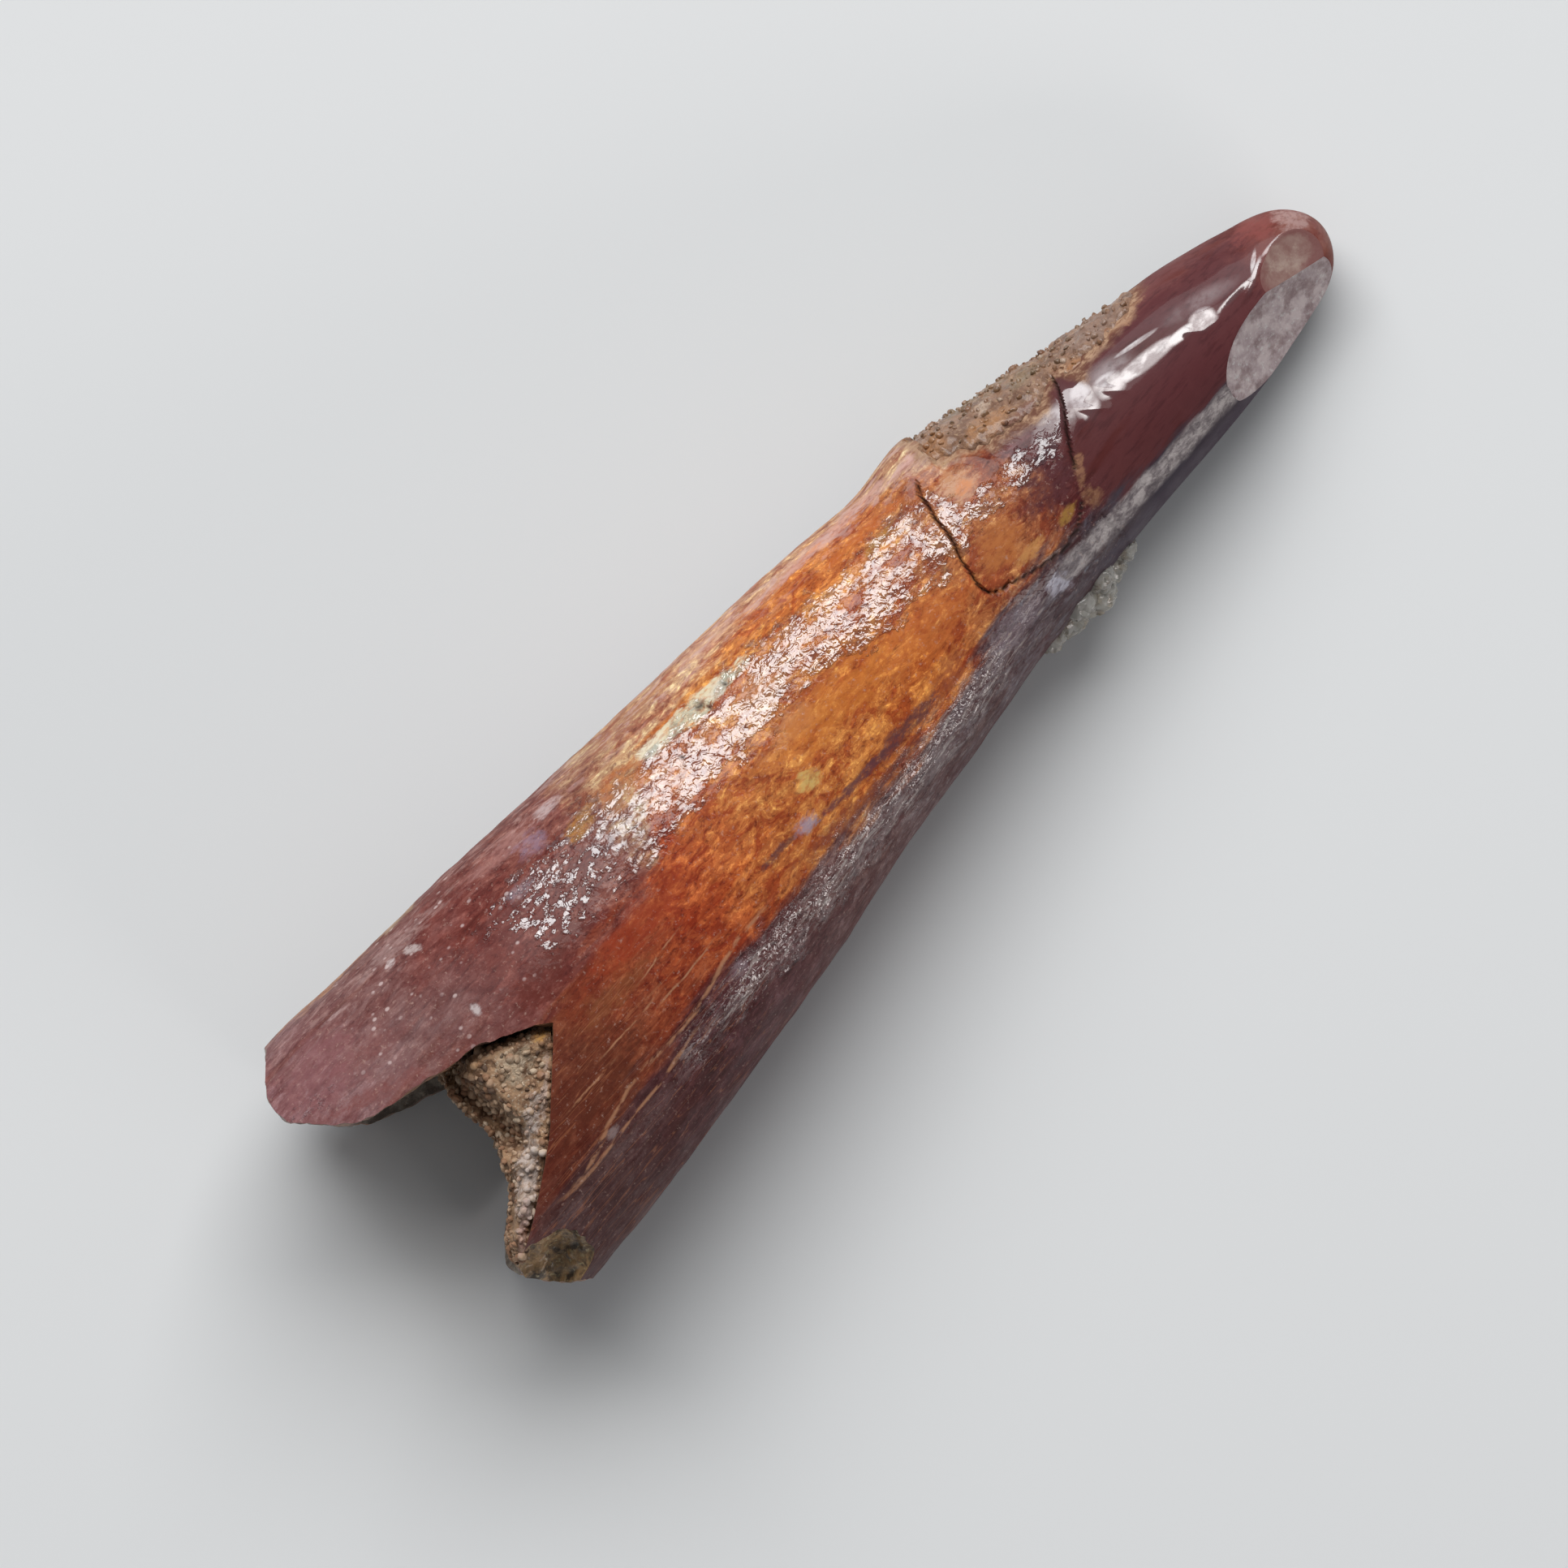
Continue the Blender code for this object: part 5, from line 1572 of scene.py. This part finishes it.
MATRIX_SAND = SandFinish(
    "sandstone",
    (
        (0.0, (0.11, 0.062, 0.038)), (0.12, (0.29, 0.155, 0.085)), (0.36, (0.38, 0.24, 0.15)),
        (0.6, (0.47, 0.32, 0.21)), (0.8, (0.33, 0.175, 0.1)), (0.93, (0.56, 0.43, 0.31)),
    ),
    ((0.13, 0.062, 0.03), (0.38, 0.23, 0.13)),
    0.75,
    0.0,
    patches_of(
        ("cream middle", 3.95, 0.05, 0.55, 0.42, (0.52, 0.42, 0.3), 0.65),
        ("ochre by the upper edge", 3.15, 0.75, 0.4, 0.22, (0.4, 0.22, 0.1), 0.7),
        ("grey lower part", 2.95, -0.55, 0.45, 0.4, (0.25, 0.19, 0.135), 0.6),
        ("whitish broken wall", 2.55, -1.48, 1.6, 0.32, (0.54, 0.45, 0.4), 0.95, 36),
        ("pale rim of the notch", 4.0, -0.62, 0.9, 0.09, (0.48, 0.36, 0.3), 0.8, 38),
        ("pink rim of the wall", 1.55, -2.2, 0.8, 0.1, (0.42, 0.26, 0.22), 0.7, 36),
        # Painted shadow: a dark strip on the sand where the notch's upper wall shades it.
        ("dark crevice", 4.0, 0.78, 0.95, 0.11, (0.18, 0.085, 0.035), 0.7, -35),
        ("amber at the apex", 4.7, 0.06, 0.28, 0.16, (0.48, 0.25, 0.06), 0.85, -20),
    ),
)
CRUST_SAND = SandFinish(
    "crust",
    (
        (0.0, (0.172, 0.073, 0.031)), (0.2, (0.25, 0.125, 0.064)), (0.45, (0.2, 0.108, 0.052)),
        (0.62, (0.3, 0.172, 0.104)), (0.8, (0.17, 0.094, 0.048)), (0.92, (0.42, 0.296, 0.216)),
    ),
    ((0.15, 0.066, 0.032), (0.3, 0.166, 0.1)),
    0.42,
    0.5,
    patches_of(
        ("amber start", 18.55, 1.95, 0.45, 0.4, (0.37, 0.165, 0.062), 0.7),
        ("olive blotch", 19.65, 2.0, 0.8, 0.22, (0.206, 0.142, 0.069), 0.65, -12),
        ("amber blotch", 19.6, 1.45, 0.7, 0.28, (0.4, 0.178, 0.06), 0.7, -12),
        ("olive middle", 20.75, 1.55, 0.6, 0.25, (0.198, 0.138, 0.067), 0.6, -12),
        ("pinkish end", 22.4, 1.1, 0.9, 0.35, (0.27, 0.168, 0.125), 0.75, -14),
        ("red-brown by the crown", 20.1, 1.12, 0.6, 0.14, (0.18, 0.062, 0.04), 0.7, -8),
        ("amber notch", 21.55, 0.95, 0.3, 0.24, (0.4, 0.17, 0.06), 0.7),
        ("cream spot", 19.75, 1.75, 0.22, 0.14, (0.56, 0.43, 0.33), 0.7),
    ),
)


@dataclass
class PulpMatrix:
    """The sandstone in the pulp cavity, with its broken face and its sand grains.

    Attributes:
        tooth: The tooth whose cavity it fills.
        face: Where the face stands, across and along.
        lean: How far the face leans back under the upper wall.
        scatter: The grains on its face.
    """

    tooth: Tooth
    scatter: SandScatter
    face: Path = (
        (-2.7, 0.92), (-2.22, 1.1), (-1.85, 1.55), (-1.62, 2.02), (-1.1, 2.32), (-0.45, 2.62), (0.6, 2.74),
        (2.7, 2.9),
    )
    lean: float = 0.75
    lump_height: float = 0.17
    lump_size: float = 0.55
    rings: int = 34
    count: int = 132
    back_end: float = 9.5
    mound_edge: Path = (
        (4.93, 0.06), (4.68, -0.2), (4.03, -0.74), (3.26, -1.36), (2.43, -1.87), (1.7, -2.27), (1.12, -2.56),
        (0.98, -2.42),
    )
    mound_front: Path = (
        (0.98, -2.42), (1.2, -2.1), (1.62, -1.8), (2.02, -1.5), (2.22, -1.12), (2.5, -0.8), (2.6, -0.3),
        (2.56, 0.25), (2.62, 0.7), (2.78, 0.98),
    )
    mound_crevice: Path = (
        (2.78, 0.98), (3.1, 0.92), (3.45, 0.86), (3.82, 0.7), (4.18, 0.48), (4.54, 0.32), (4.93, 0.06),
    )
    mound_bottom: float = 2.6
    mound_sink: float = 0.24

    def face_along(self, across: np.ndarray, up: np.ndarray, middle_up: float) -> np.ndarray:
        """Where the broken face stands at places in the cavity.

        Args:
            across: The places across.
            up: Their heights.
            middle_up: The cavity's middle height.

        Returns:
            The face's distance along at each place.
        """
        corners = np.array(self.face)
        stand = np.interp(across, corners[:, 0], corners[:, 1])
        lean = self.lean * smoothstep(-2.2, -1.2, across) * smoothstep(middle_up - 0.6, middle_up + 2.0, up)
        spots = np.column_stack((across, up, np.full(len(across), 1.3 * self.lump_size)))
        lumps = self.lump_height * noise_at(spots, self.lump_size)
        fine = 0.07 * noise_at(spots, 0.24, 6.0) + 0.035 * noise_at(spots, 0.11, 2.0)
        return stand + lean + lumps + fine

    def mound(self) -> bpy.types.Object:
        """The sandstone that stands up between the prongs, almost to the tooth's surface."""
        step = 0.045
        rows, columns = np.arange(0.8, 5.1, step), np.arange(-2.8, 1.2, step)
        spots = np.array([(a, c) for a in rows for c in columns])
        places = np.column_stack((spots, np.zeros(len(spots))))
        side = path_distance(spots, self.mound_edge)
        front = path_distance(spots, self.mound_front)
        crevice = path_distance(spots, self.mound_crevice)
        lining = smoothstep(2.9, 2.3, spots[:, 0])
        sink = self.mound_sink + 0.16 * noise_at(places, 0.75, 2.0) + 0.09 * noise_at(places, 0.3, 5.0)
        sink += 0.04 * noise_at(places, 0.13, 8.0)
        sink += 0.05 * smoothstep(0.12, 0.0, side) + 0.26 * smoothstep(0.18, 0.0, crevice)
        sink += (1.7 - 1.2 * lining) * smoothstep(0.85 - 0.6 * lining, 0.0, front) ** 1.5
        heights = np.maximum(FORM.outer_up(spots[:, 0], spots[:, 1]) - sink, self.mound_bottom + 0.05)
        top = np.column_stack((spots, heights))
        floor = np.column_stack((spots, np.full(len(spots), self.mound_bottom)))
        tall, wide, count = len(rows), len(columns), len(spots)
        faces = []
        for i in range(tall - 1):
            for j in range(wide - 1):
                faces += cell_faces(i, j, wide, count)
        rim = [i * wide for i in range(tall)] + [(tall - 1) * wide + j for j in range(1, wide)]
        rim += [i * wide + wide - 1 for i in range(tall - 2, -1, -1)] + list(range(wide - 2, 0, -1))
        faces += [(b, a, count + a, count + b) for a, b in zip(rim, rim[1:] + rim[:1])]
        slab = mesh_of("sandstone_mound", FORM.placed_all(np.concatenate((top, floor))), faces)
        fix_normals(slab)
        made = add_object("sandstone_mound", slab)
        outline = self.mound_edge[:-1] + self.mound_front[:-1] + self.mound_crevice[:-1]
        boolean(made, BreakEdge(outline, 1.9, 7.0, 0.03).prism("mound_outline"), "INTERSECT")
        return made

    def build(self) -> bpy.types.Object:
        """The plug with its grains."""
        form, tooth = FORM, self.tooth
        angles = np.arange(self.count) * math.tau / self.count
        widest = self.face[-1][1]
        middle = form.section(widest)
        centre = np.array([middle.centre_across, middle.centre_up])
        rim = tooth.cavity_ring(widest, angles)
        for _ in range(2):
            stands = self.face_along(rim[:, 1], rim[:, 2], middle.centre_up)
            rim = np.concatenate([tooth.cavity_ring(float(s), np.array([a])) for s, a in zip(stands, angles)])
        rings = []
        for share in np.linspace(0.0, 1.0, self.rings + 1)[1:]:
            flat = centre + (rim[:, 1:] - centre) * share
            rings.append(np.column_stack((self.face_along(flat[:, 0], flat[:, 1], middle.centre_up), flat)))
        back_start = widest + self.lean + 0.4
        back_rings = 22
        for i in range(back_rings):
            along = back_start + (self.back_end - back_start) * math.sin(math.pi / 2 * i / back_rings)
            rings.append(tooth.cavity_ring(along, angles))
        front = np.array([[float(self.face_along(centre[:1], centre[1:], middle.centre_up)[0]), *centre]])
        back = np.array([[self.back_end, *tooth.middle(self.back_end)]])
        points = np.concatenate((*rings, front, back))
        last, tip = (len(rings) - 1) * self.count, len(points) - 2
        faces = ring_faces(len(rings), self.count) + fan_faces(0, self.count, tip, True)
        faces += fan_faces(last, self.count, tip + 1)
        mesh = mesh_of("pulp_sandstone", form.placed_all(points), faces)
        mesh.materials.append(MATRIX_SAND.base((0.56, 0.47, 0.36)))
        made = add_object("pulp_sandstone", mesh)
        boolean(made, self.mound(), "UNION")
        places = form.measured(vertex_places(made.data))
        in_view = smoothstep(4.95, 4.75, places[:, 0]) * smoothstep(0.5, 1.2, places[:, 2])
        set_attribute(made.data, "sand_share", in_view)
        self.scatter.apply(made, MATRIX_SAND.grains())
        smooth(made, 50)
        return made

    def dress(self, plug: bpy.types.Object) -> None:
        """Puts the sandstone in the place of its solid."""
        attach(plug, BODY)
        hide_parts("pulp_matrix")


@dataclass
class SandCrust:
    """The cemented sand in the flaked scar on the crown's +Y side.

    Attributes:
        scatter: The grains on it.
        start: Where it starts along the tooth.
        end: Where it ends.
        inner: Height of its hidden inner face over the plain section.
        proud: How far its outer face stands over the plain section.
    """

    scatter: SandScatter
    start: float = 18.25
    end: float = 23.55
    inner: float = -0.25
    proud: float = 0.1
    upper_edge: Path = (
        (18.25, 36.0), (18.6, 45.0), (19.0, 51.0), (19.6, 58.0), (20.5, 57.0), (20.85, 51.0), (21.1, 42.0),
        (21.3, 50.0), (21.5, 60.0), (21.75, 52.0), (22.0, 46.0), (22.6, 45.0), (23.2, 38.0), (23.55, 32.0),
    )
    lower_start: float = -52.0
    lower_end: float = 4.0
    ragged: float = 7.0
    along_steps: int = 150
    round_steps: int = 76

    def edges(self, share: float) -> tuple[float, float]:
        """Its lower and upper edge, as angles round the crown, at a share of its length."""
        ragged = math.radians(self.ragged) * noise.noise(Vector((share * 6.0, 4.2, 0.7)))
        fine = math.radians(5.0) * noise.noise(Vector((share * 31.0, 1.2, 3.7)))
        corners = np.array(self.upper_edge)
        along = self.start + (self.end - self.start) * share
        upper = math.radians(np.interp(along, corners[:, 0], corners[:, 1]))
        lower = math.radians(self.lower_start + (self.lower_end - self.lower_start) * share)
        middle = (upper + lower) / 2
        closing = math.sqrt(max(1 - max((share - 0.75) / 0.25, 0.0) ** 2, 0.0)) * 0.85 + 0.15
        return middle + (lower - middle) * closing - ragged, middle + (upper - middle) * closing + fine

    def stain(self, points: np.ndarray) -> np.ndarray:
        """How strongly the crust's edge stains the tooth.

        Args:
            points: Along, across and up, one a row.

        Returns:
            A share from 0 to 1 for each row.
        """
        angles = FORM.angle_of(points)
        shares = np.clip((points[:, 0] - self.start) / (self.end - self.start), 0.0, 1.0)
        table = np.linspace(0.0, 1.0, 60)
        lower, upper = (np.interp(shares, table, [self.edges(s)[k] for s in table]) for k in range(2))
        depth = np.interp(points[:, 0], (17.0, 24.0), (2.1, 1.35))
        around = np.maximum(np.maximum(lower - angles, angles - upper), 0.0) * depth
        past = np.maximum(np.maximum(self.start - points[:, 0], points[:, 0] - self.end), 0.0)
        off = np.hypot(around, past) + 0.11 * noise_at(points, 0.5, 3.0) + 0.06 * noise_at(points, 0.2, 6.0)
        return smoothstep(0.3, 0.02, off)

    def build(self) -> bpy.types.Object:
        """The crust with its grains."""
        columns = self.round_steps + 1
        outside, inside, edge_shares = [], [], []
        for i in range(self.along_steps + 1):
            share = i / self.along_steps
            along = self.start + (self.end - self.start) * share
            lower, upper = self.edges(share)
            angles = np.linspace(lower, upper, columns)
            ring = FORM.ring(along, angles, 0.0)
            lumps = 0.07 * noise_at(ring, 0.62, 2.0) + 0.05 * noise_at(ring, 0.27, 5.0)
            lumps += 0.035 * noise_at(ring, 0.13, 7.0)
            side = np.minimum(np.arange(columns), self.round_steps - np.arange(columns)) / 12.0
            ends = min(i, self.along_steps - i) / 12.0
            edge = np.clip(np.minimum(side, ends), 0.0, 1.0)
            rise = np.sqrt(1 - (1 - edge) ** 2)
            full = self.proud + lumps
            outside.append(FORM.ring(along, angles, -0.06 + (full + 0.06) * rise))
            inside.append(FORM.ring(along, angles, self.inner))
            edge_shares.append(edge)
        rows = self.along_steps + 1
        points = np.concatenate((*outside, *inside))
        offset = rows * columns
        faces = []
        for i in range(rows - 1):
            for j in range(columns - 1):
                faces += cell_faces(i, j, columns, offset)
            for a in (i * columns, (i + 1) * columns - 1):
                faces.append((a, a + columns, offset + a + columns, offset + a))
        for i in (0, rows - 1):
            for a in range(i * columns, (i + 1) * columns - 1):
                faces.append((a, a + 1, offset + a + 1, offset + a))
        mesh = mesh_of("sand_crust_surface", FORM.placed_all(points), faces)
        fix_normals(mesh)
        shares = np.concatenate((np.concatenate(edge_shares), np.zeros(offset)))
        set_attribute(mesh, "sand_share", shares)
        mesh.materials.append(CRUST_SAND.base((0.46, 0.3, 0.18)))
        made = add_object("sand_crust_surface", mesh)
        self.scatter.apply(made, CRUST_SAND.grains())
        smooth(made, 50)
        return made

    def dress(self, crust: bpy.types.Object) -> None:
        """Puts the crust in the place of its solid."""
        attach(crust, BODY)
        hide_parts("sand_crust")


@dataclass(frozen=True)
class QuartzFinish:
    """Clear quartz with a tan stain in it."""

    colour: Colour = (0.9, 0.88, 0.8)
    stain: Colour = (0.72, 0.6, 0.44)
    ior: float = 1.46
    roughness: float = 0.08
    clearness: float = 0.7
    absorption: Colour = (0.9, 0.84, 0.7)
    density: float = 260.0

    def build(self) -> bpy.types.Material:
        """The finished material."""
        material, desk, point = new_material("quartz")
        stained = desk.span(desk.spots(point, 3.2, 4, 0.6, 0.4), 0.45, 0.7)
        normal = desk.bump(desk.spots(point, 5.0, 3, 0.6), 0.012)
        desk.shade({"Base Color": desk.blend(stained, self.colour, self.stain), "Normal": normal})
        desk.shade({"Roughness": self.roughness, "IOR": self.ior, "Transmission Weight": self.clearness})
        absorb = desk.add("ShaderNodeVolumeAbsorption", {"Color": self.absorption, "Density": self.density})
        desk.feed(material.node_tree.nodes["Material Output"], {"Volume": absorb.outputs[0]})
        return material


@dataclass
class QuartzGrains:
    """The clump of quartz grains on the crown's -Y side.

    Attributes:
        grains: Along, across, up and radius of each grain.
    """

    grains: tuple[tuple[float, float, float, float], ...] = (
        (17.25, -2.28, 1.75, 0.31), (17.8, -2.27, 1.5, 0.4), (18.45, -2.34, 1.6, 0.46),
        (18.1, -2.25, 2.05, 0.34), (19.06, -2.2, 1.42, 0.37), (18.76, -2.22, 2.02, 0.3),
        (19.52, -2.2, 1.66, 0.28),
    )

    def build(self) -> bpy.types.Object:
        """All the grains joined into one body."""
        clump = None
        for index, (along, across, up, radius) in enumerate(self.grains):
            radii = (radius * 1.06, radius * 0.96, radius)
            grain = rough_ball(f"quartz_{index + 1}", (along, across, up), radii, 0.2, 4, index * 5.3)
            if clump is None:
                clump = grain
                clump.name = "quartz_clump"
                clump.data.materials.append(QuartzFinish().build())
            else:
                boolean(clump, grain, "UNION")
        smooth(clump, 30)
        return clump

    def dress(self, clump: bpy.types.Object) -> None:
        """Puts the clump in the place of its solid."""
        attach(clump, BODY)
        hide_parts("quartz_grains")


IMAGE_RIGHT = Vector((0.6612, -0.7502, 0.0)).normalized()
IMAGE_UP = Vector((0.0, 0.0, 1.0)).cross(IMAGE_RIGHT)


@dataclass(frozen=True)
class SoftBox:
    """A soft studio light that faces the tooth.

    Attributes:
        name: The light's name.
        right: Its tilt from straight above towards the picture's right side, in degrees.
        up: Its tilt from straight above towards the picture's upper side.
        distance: How far it stands, in metres.
        half_width: Half the angle that it fills towards the right.
        half_height: Half the angle that it fills towards the upper side.
        radiance: How bright its face is.
        colour: Its colour.
    """

    name: str
    right: float
    up: float
    distance: float
    half_width: float
    half_height: float
    radiance: float
    colour: Colour = (1.0, 1.0, 1.0)

    def build(self) -> None:
        """Hangs the light in the scene."""
        width = 2 * self.distance * math.tan(math.radians(self.half_width))
        height = 2 * self.distance * math.tan(math.radians(self.half_height))
        lamp = bpy.data.lights.new(self.name, "AREA")
        lamp.shape, lamp.size, lamp.size_y = "RECTANGLE", width, height
        lamp.energy = self.radiance * math.pi * width * height
        lamp.color = self.colour
        level = IMAGE_RIGHT * math.tan(math.radians(self.right)) + IMAGE_UP * math.tan(math.radians(self.up))
        away = (level + Vector((0.0, 0.0, 1.0))).normalized()
        side = (IMAGE_RIGHT - away * IMAGE_RIGHT.dot(away)).normalized()
        turned = Matrix((side, away.cross(side), away)).transposed().to_4x4()
        held = bpy.data.objects.new(self.name, lamp)
        held.matrix_world = Matrix.Translation(away * self.distance) @ turned
        bpy.context.scene.collection.objects.link(held)


@dataclass
class Studio:
    """Floor, light and camera.

    Attributes:
        camera_at: Where the camera looks, in metres.
        camera_height: How high it stands over that.
        lens: Its focal length on a 36 mm sensor.
    """

    boxes: tuple[SoftBox, ...]
    sky: Colour = (0.17, 0.18, 0.19)
    camera_at: tuple[float, float, float] = (-0.00195, -0.000315, 0.0022)
    camera_height: float = 0.3461
    lens: float = 400.0

    def floor(self) -> bpy.types.Object:
        """The plain pale floor."""
        half = 0.6
        corners = np.array([(-half, -half, 0.0), (half, -half, 0.0), (half, half, 0.0), (-half, half, 0.0)])
        mesh = bpy.data.meshes.new("floor")
        mesh.from_pydata(corners.tolist(), [], [(0, 1, 2, 3)])
        material, desk, _ = new_material("floor")
        desk.shade({"Base Color": (0.74, 0.75, 0.75), "Roughness": 0.75})
        mesh.materials.append(material)
        made = add_object("floor", mesh)
        return made

    def world(self) -> None:
        """An even dim sky."""
        world = bpy.data.worlds.new("studio")
        world.use_nodes = True
        background = world.node_tree.nodes["Background"]
        background.inputs["Color"].default_value = (*self.sky, 1.0)
        background.inputs["Strength"].default_value = 1.0
        bpy.context.scene.world = world

    def camera(self) -> None:
        """The camera straight above, turned as the photographer held it."""
        data = bpy.data.cameras.new("camera")
        data.lens, data.sensor_width = self.lens, 36.0
        data.clip_start, data.clip_end = 0.002, 10.0
        held = bpy.data.objects.new("camera", data)
        turned = Matrix((IMAGE_RIGHT, IMAGE_UP, Vector((0.0, 0.0, 1.0)))).transposed().to_4x4()
        place = Vector(self.camera_at) + Vector((0.0, 0.0, self.camera_height))
        held.matrix_world = Matrix.Translation(place) @ turned
        bpy.context.scene.collection.objects.link(held)
        bpy.context.scene.camera = held

    def build(self) -> None:
        """Sets the whole studio up."""
        self.floor()
        self.world()
        self.camera()
        for box in self.boxes:
            box.build()
        bpy.context.scene.view_settings.view_transform = "Standard"


UPPER_BREAK = BreakEdge(
    (
        (1.45, 4.6), (1.0, 3.98), (0.66, 3.76), (0.36, 3.56), (0.16, 3.32), (0.08, 2.98), (0.1, 2.68),
        (0.35, 2.39), (0.65, 2.02), (0.95, 1.72), (1.42, 1.5), (1.94, 1.35), (2.52, 1.22), (3.07, 1.02),
        (3.45, 0.98), (3.86, 0.84), (4.24, 0.62), (4.61, 0.43), (5.04, 0.06), (4.72, -0.24), (4.05, -0.78),
        (3.28, -1.4), (2.45, -1.9), (1.72, -2.3), (1.06, -2.6), (0.93, -2.85), (1.1, -3.24), (1.4, -3.58),
        (1.7, -3.84), (1.9, -4.6),
    ),
    3.0,
    8.0,
)
LOWER_BREAK = BreakEdge(
    (
        (1.45, 4.6), (1.0, 3.98), (0.66, 3.76), (0.36, 3.56), (0.18, 3.24), (0.16, 2.7), (0.46, 2.32),
        (0.7, 1.95), (0.95, 1.69), (1.25, 1.47), (1.7, 1.27), (2.0, 1.11), (2.45, 0.97), (3.05, 0.68),
        (3.7, 0.2), (3.2, -0.72), (2.62, -1.3), (2.05, -1.62), (1.55, -1.84), (1.22, -2.1), (0.93, -2.42),
        (0.9, -2.8), (1.1, -3.2), (1.4, -3.56), (1.7, -3.84), (1.9, -4.6),
    ),
    -1.5,
    3.05,
)
CRACKS = (
    Crack(
        (
            (17.76, 1.72), (17.6, 1.5), (17.56, 1.25), (17.46, 1.0), (17.42, 0.7), (17.34, 0.4), (17.17, 0.05),
            (17.12, -0.2), (17.02, -0.55), (17.06, -0.78), (17.22, -0.9), (17.48, -0.95),
        ),
        0.024,
        0.07,
    ),
    Crack(
        ((21.12, 1.14), (21.05, 0.92), (20.84, 0.58), (20.56, 0.27), (20.22, -0.16), (20.05, -0.42)),
        0.021,
        0.055,
    ),
    Crack(((17.5, -0.98), (18.1, -1.18), (18.7, -1.32), (19.2, -1.24), (19.62, -0.98)), 0.024, 0.016),
)
SCALES: tuple[Path, ...] = (
    ((17.75, 1.6), (18.2, 1.66), (18.62, 1.5), (18.92, 1.22), (19.05, 0.95)),
    ((21.2, 0.62), (21.55, 0.56), (21.95, 0.86), (22.4, 0.98)), ((20.95, 0.35), (21.2, 0.05), (21.38, -0.14)),
    ((21.48, 0.55), (21.62, 0.16), (21.88, -0.16)), ((22.0, 0.46), (22.6, 0.36), (23.2, 0.2)),
    ((23.55, -0.28), (23.8, -0.56), (24.25, -0.62)), ((24.95, -0.72), (25.3, -0.62), (25.65, -0.36)),
)
PITS = (
    Pit(11.62, 2.04, 0.11, 0.07),
    Pit(11.72, 1.9, 0.08, 0.06),
    Pit(12.26, 1.97, 0.07, 0.05),
    Pit(11.02, 2.2, 0.05, 0.04),
    Pit(10.6, 1.62, 0.05, 0.03),
)
BOXES = (
    SoftBox("key_box", -12.0, 31.5, 0.4, 28.0, 5.5, 6.5, (1.0, 0.99, 0.98)),
    SoftBox("upper_box", -12.0, 49.0, 0.4, 28.0, 12.0, 5.5, (0.98, 0.985, 1.0)),
    SoftBox("low_fill", 68.3, -61.1, 0.45, 16.0, 5.0, 6.0, (1.0, 0.93, 0.91)),
)


def main() -> None:
    """Builds every piece of the fossil and the studio round it."""
    logging.basicConfig(level=logging.INFO, format="%(name)s: %(message)s")
    facets = (WearFacet(24.95, 139.0, 0.29, 7.6, SIDE_WEAR), WearFacet(26.16, 101.0, 0.115, 5.0, END_WEAR))
    crust = SandCrust(SandScatter(24.0, 0.052, 0.4, 0.12, 3))
    tooth = Tooth(FORM, UPPER_BREAK, LOWER_BREAK, facets, CRACKS, SCALES, PITS, crust)
    pieces = (
        tooth,
        PulpMatrix(tooth, SandScatter(54.0, 0.058, 0.4, 0.088, 7)),
        crust,
        QuartzGrains(),
    )
    for piece in pieces:
        made = piece.build()
        piece.dress(made)
        log.info("%s: %d faces", made.name, len(made.data.polygons))
    Studio(BOXES).build()


if __name__ == "__main__":
    main()
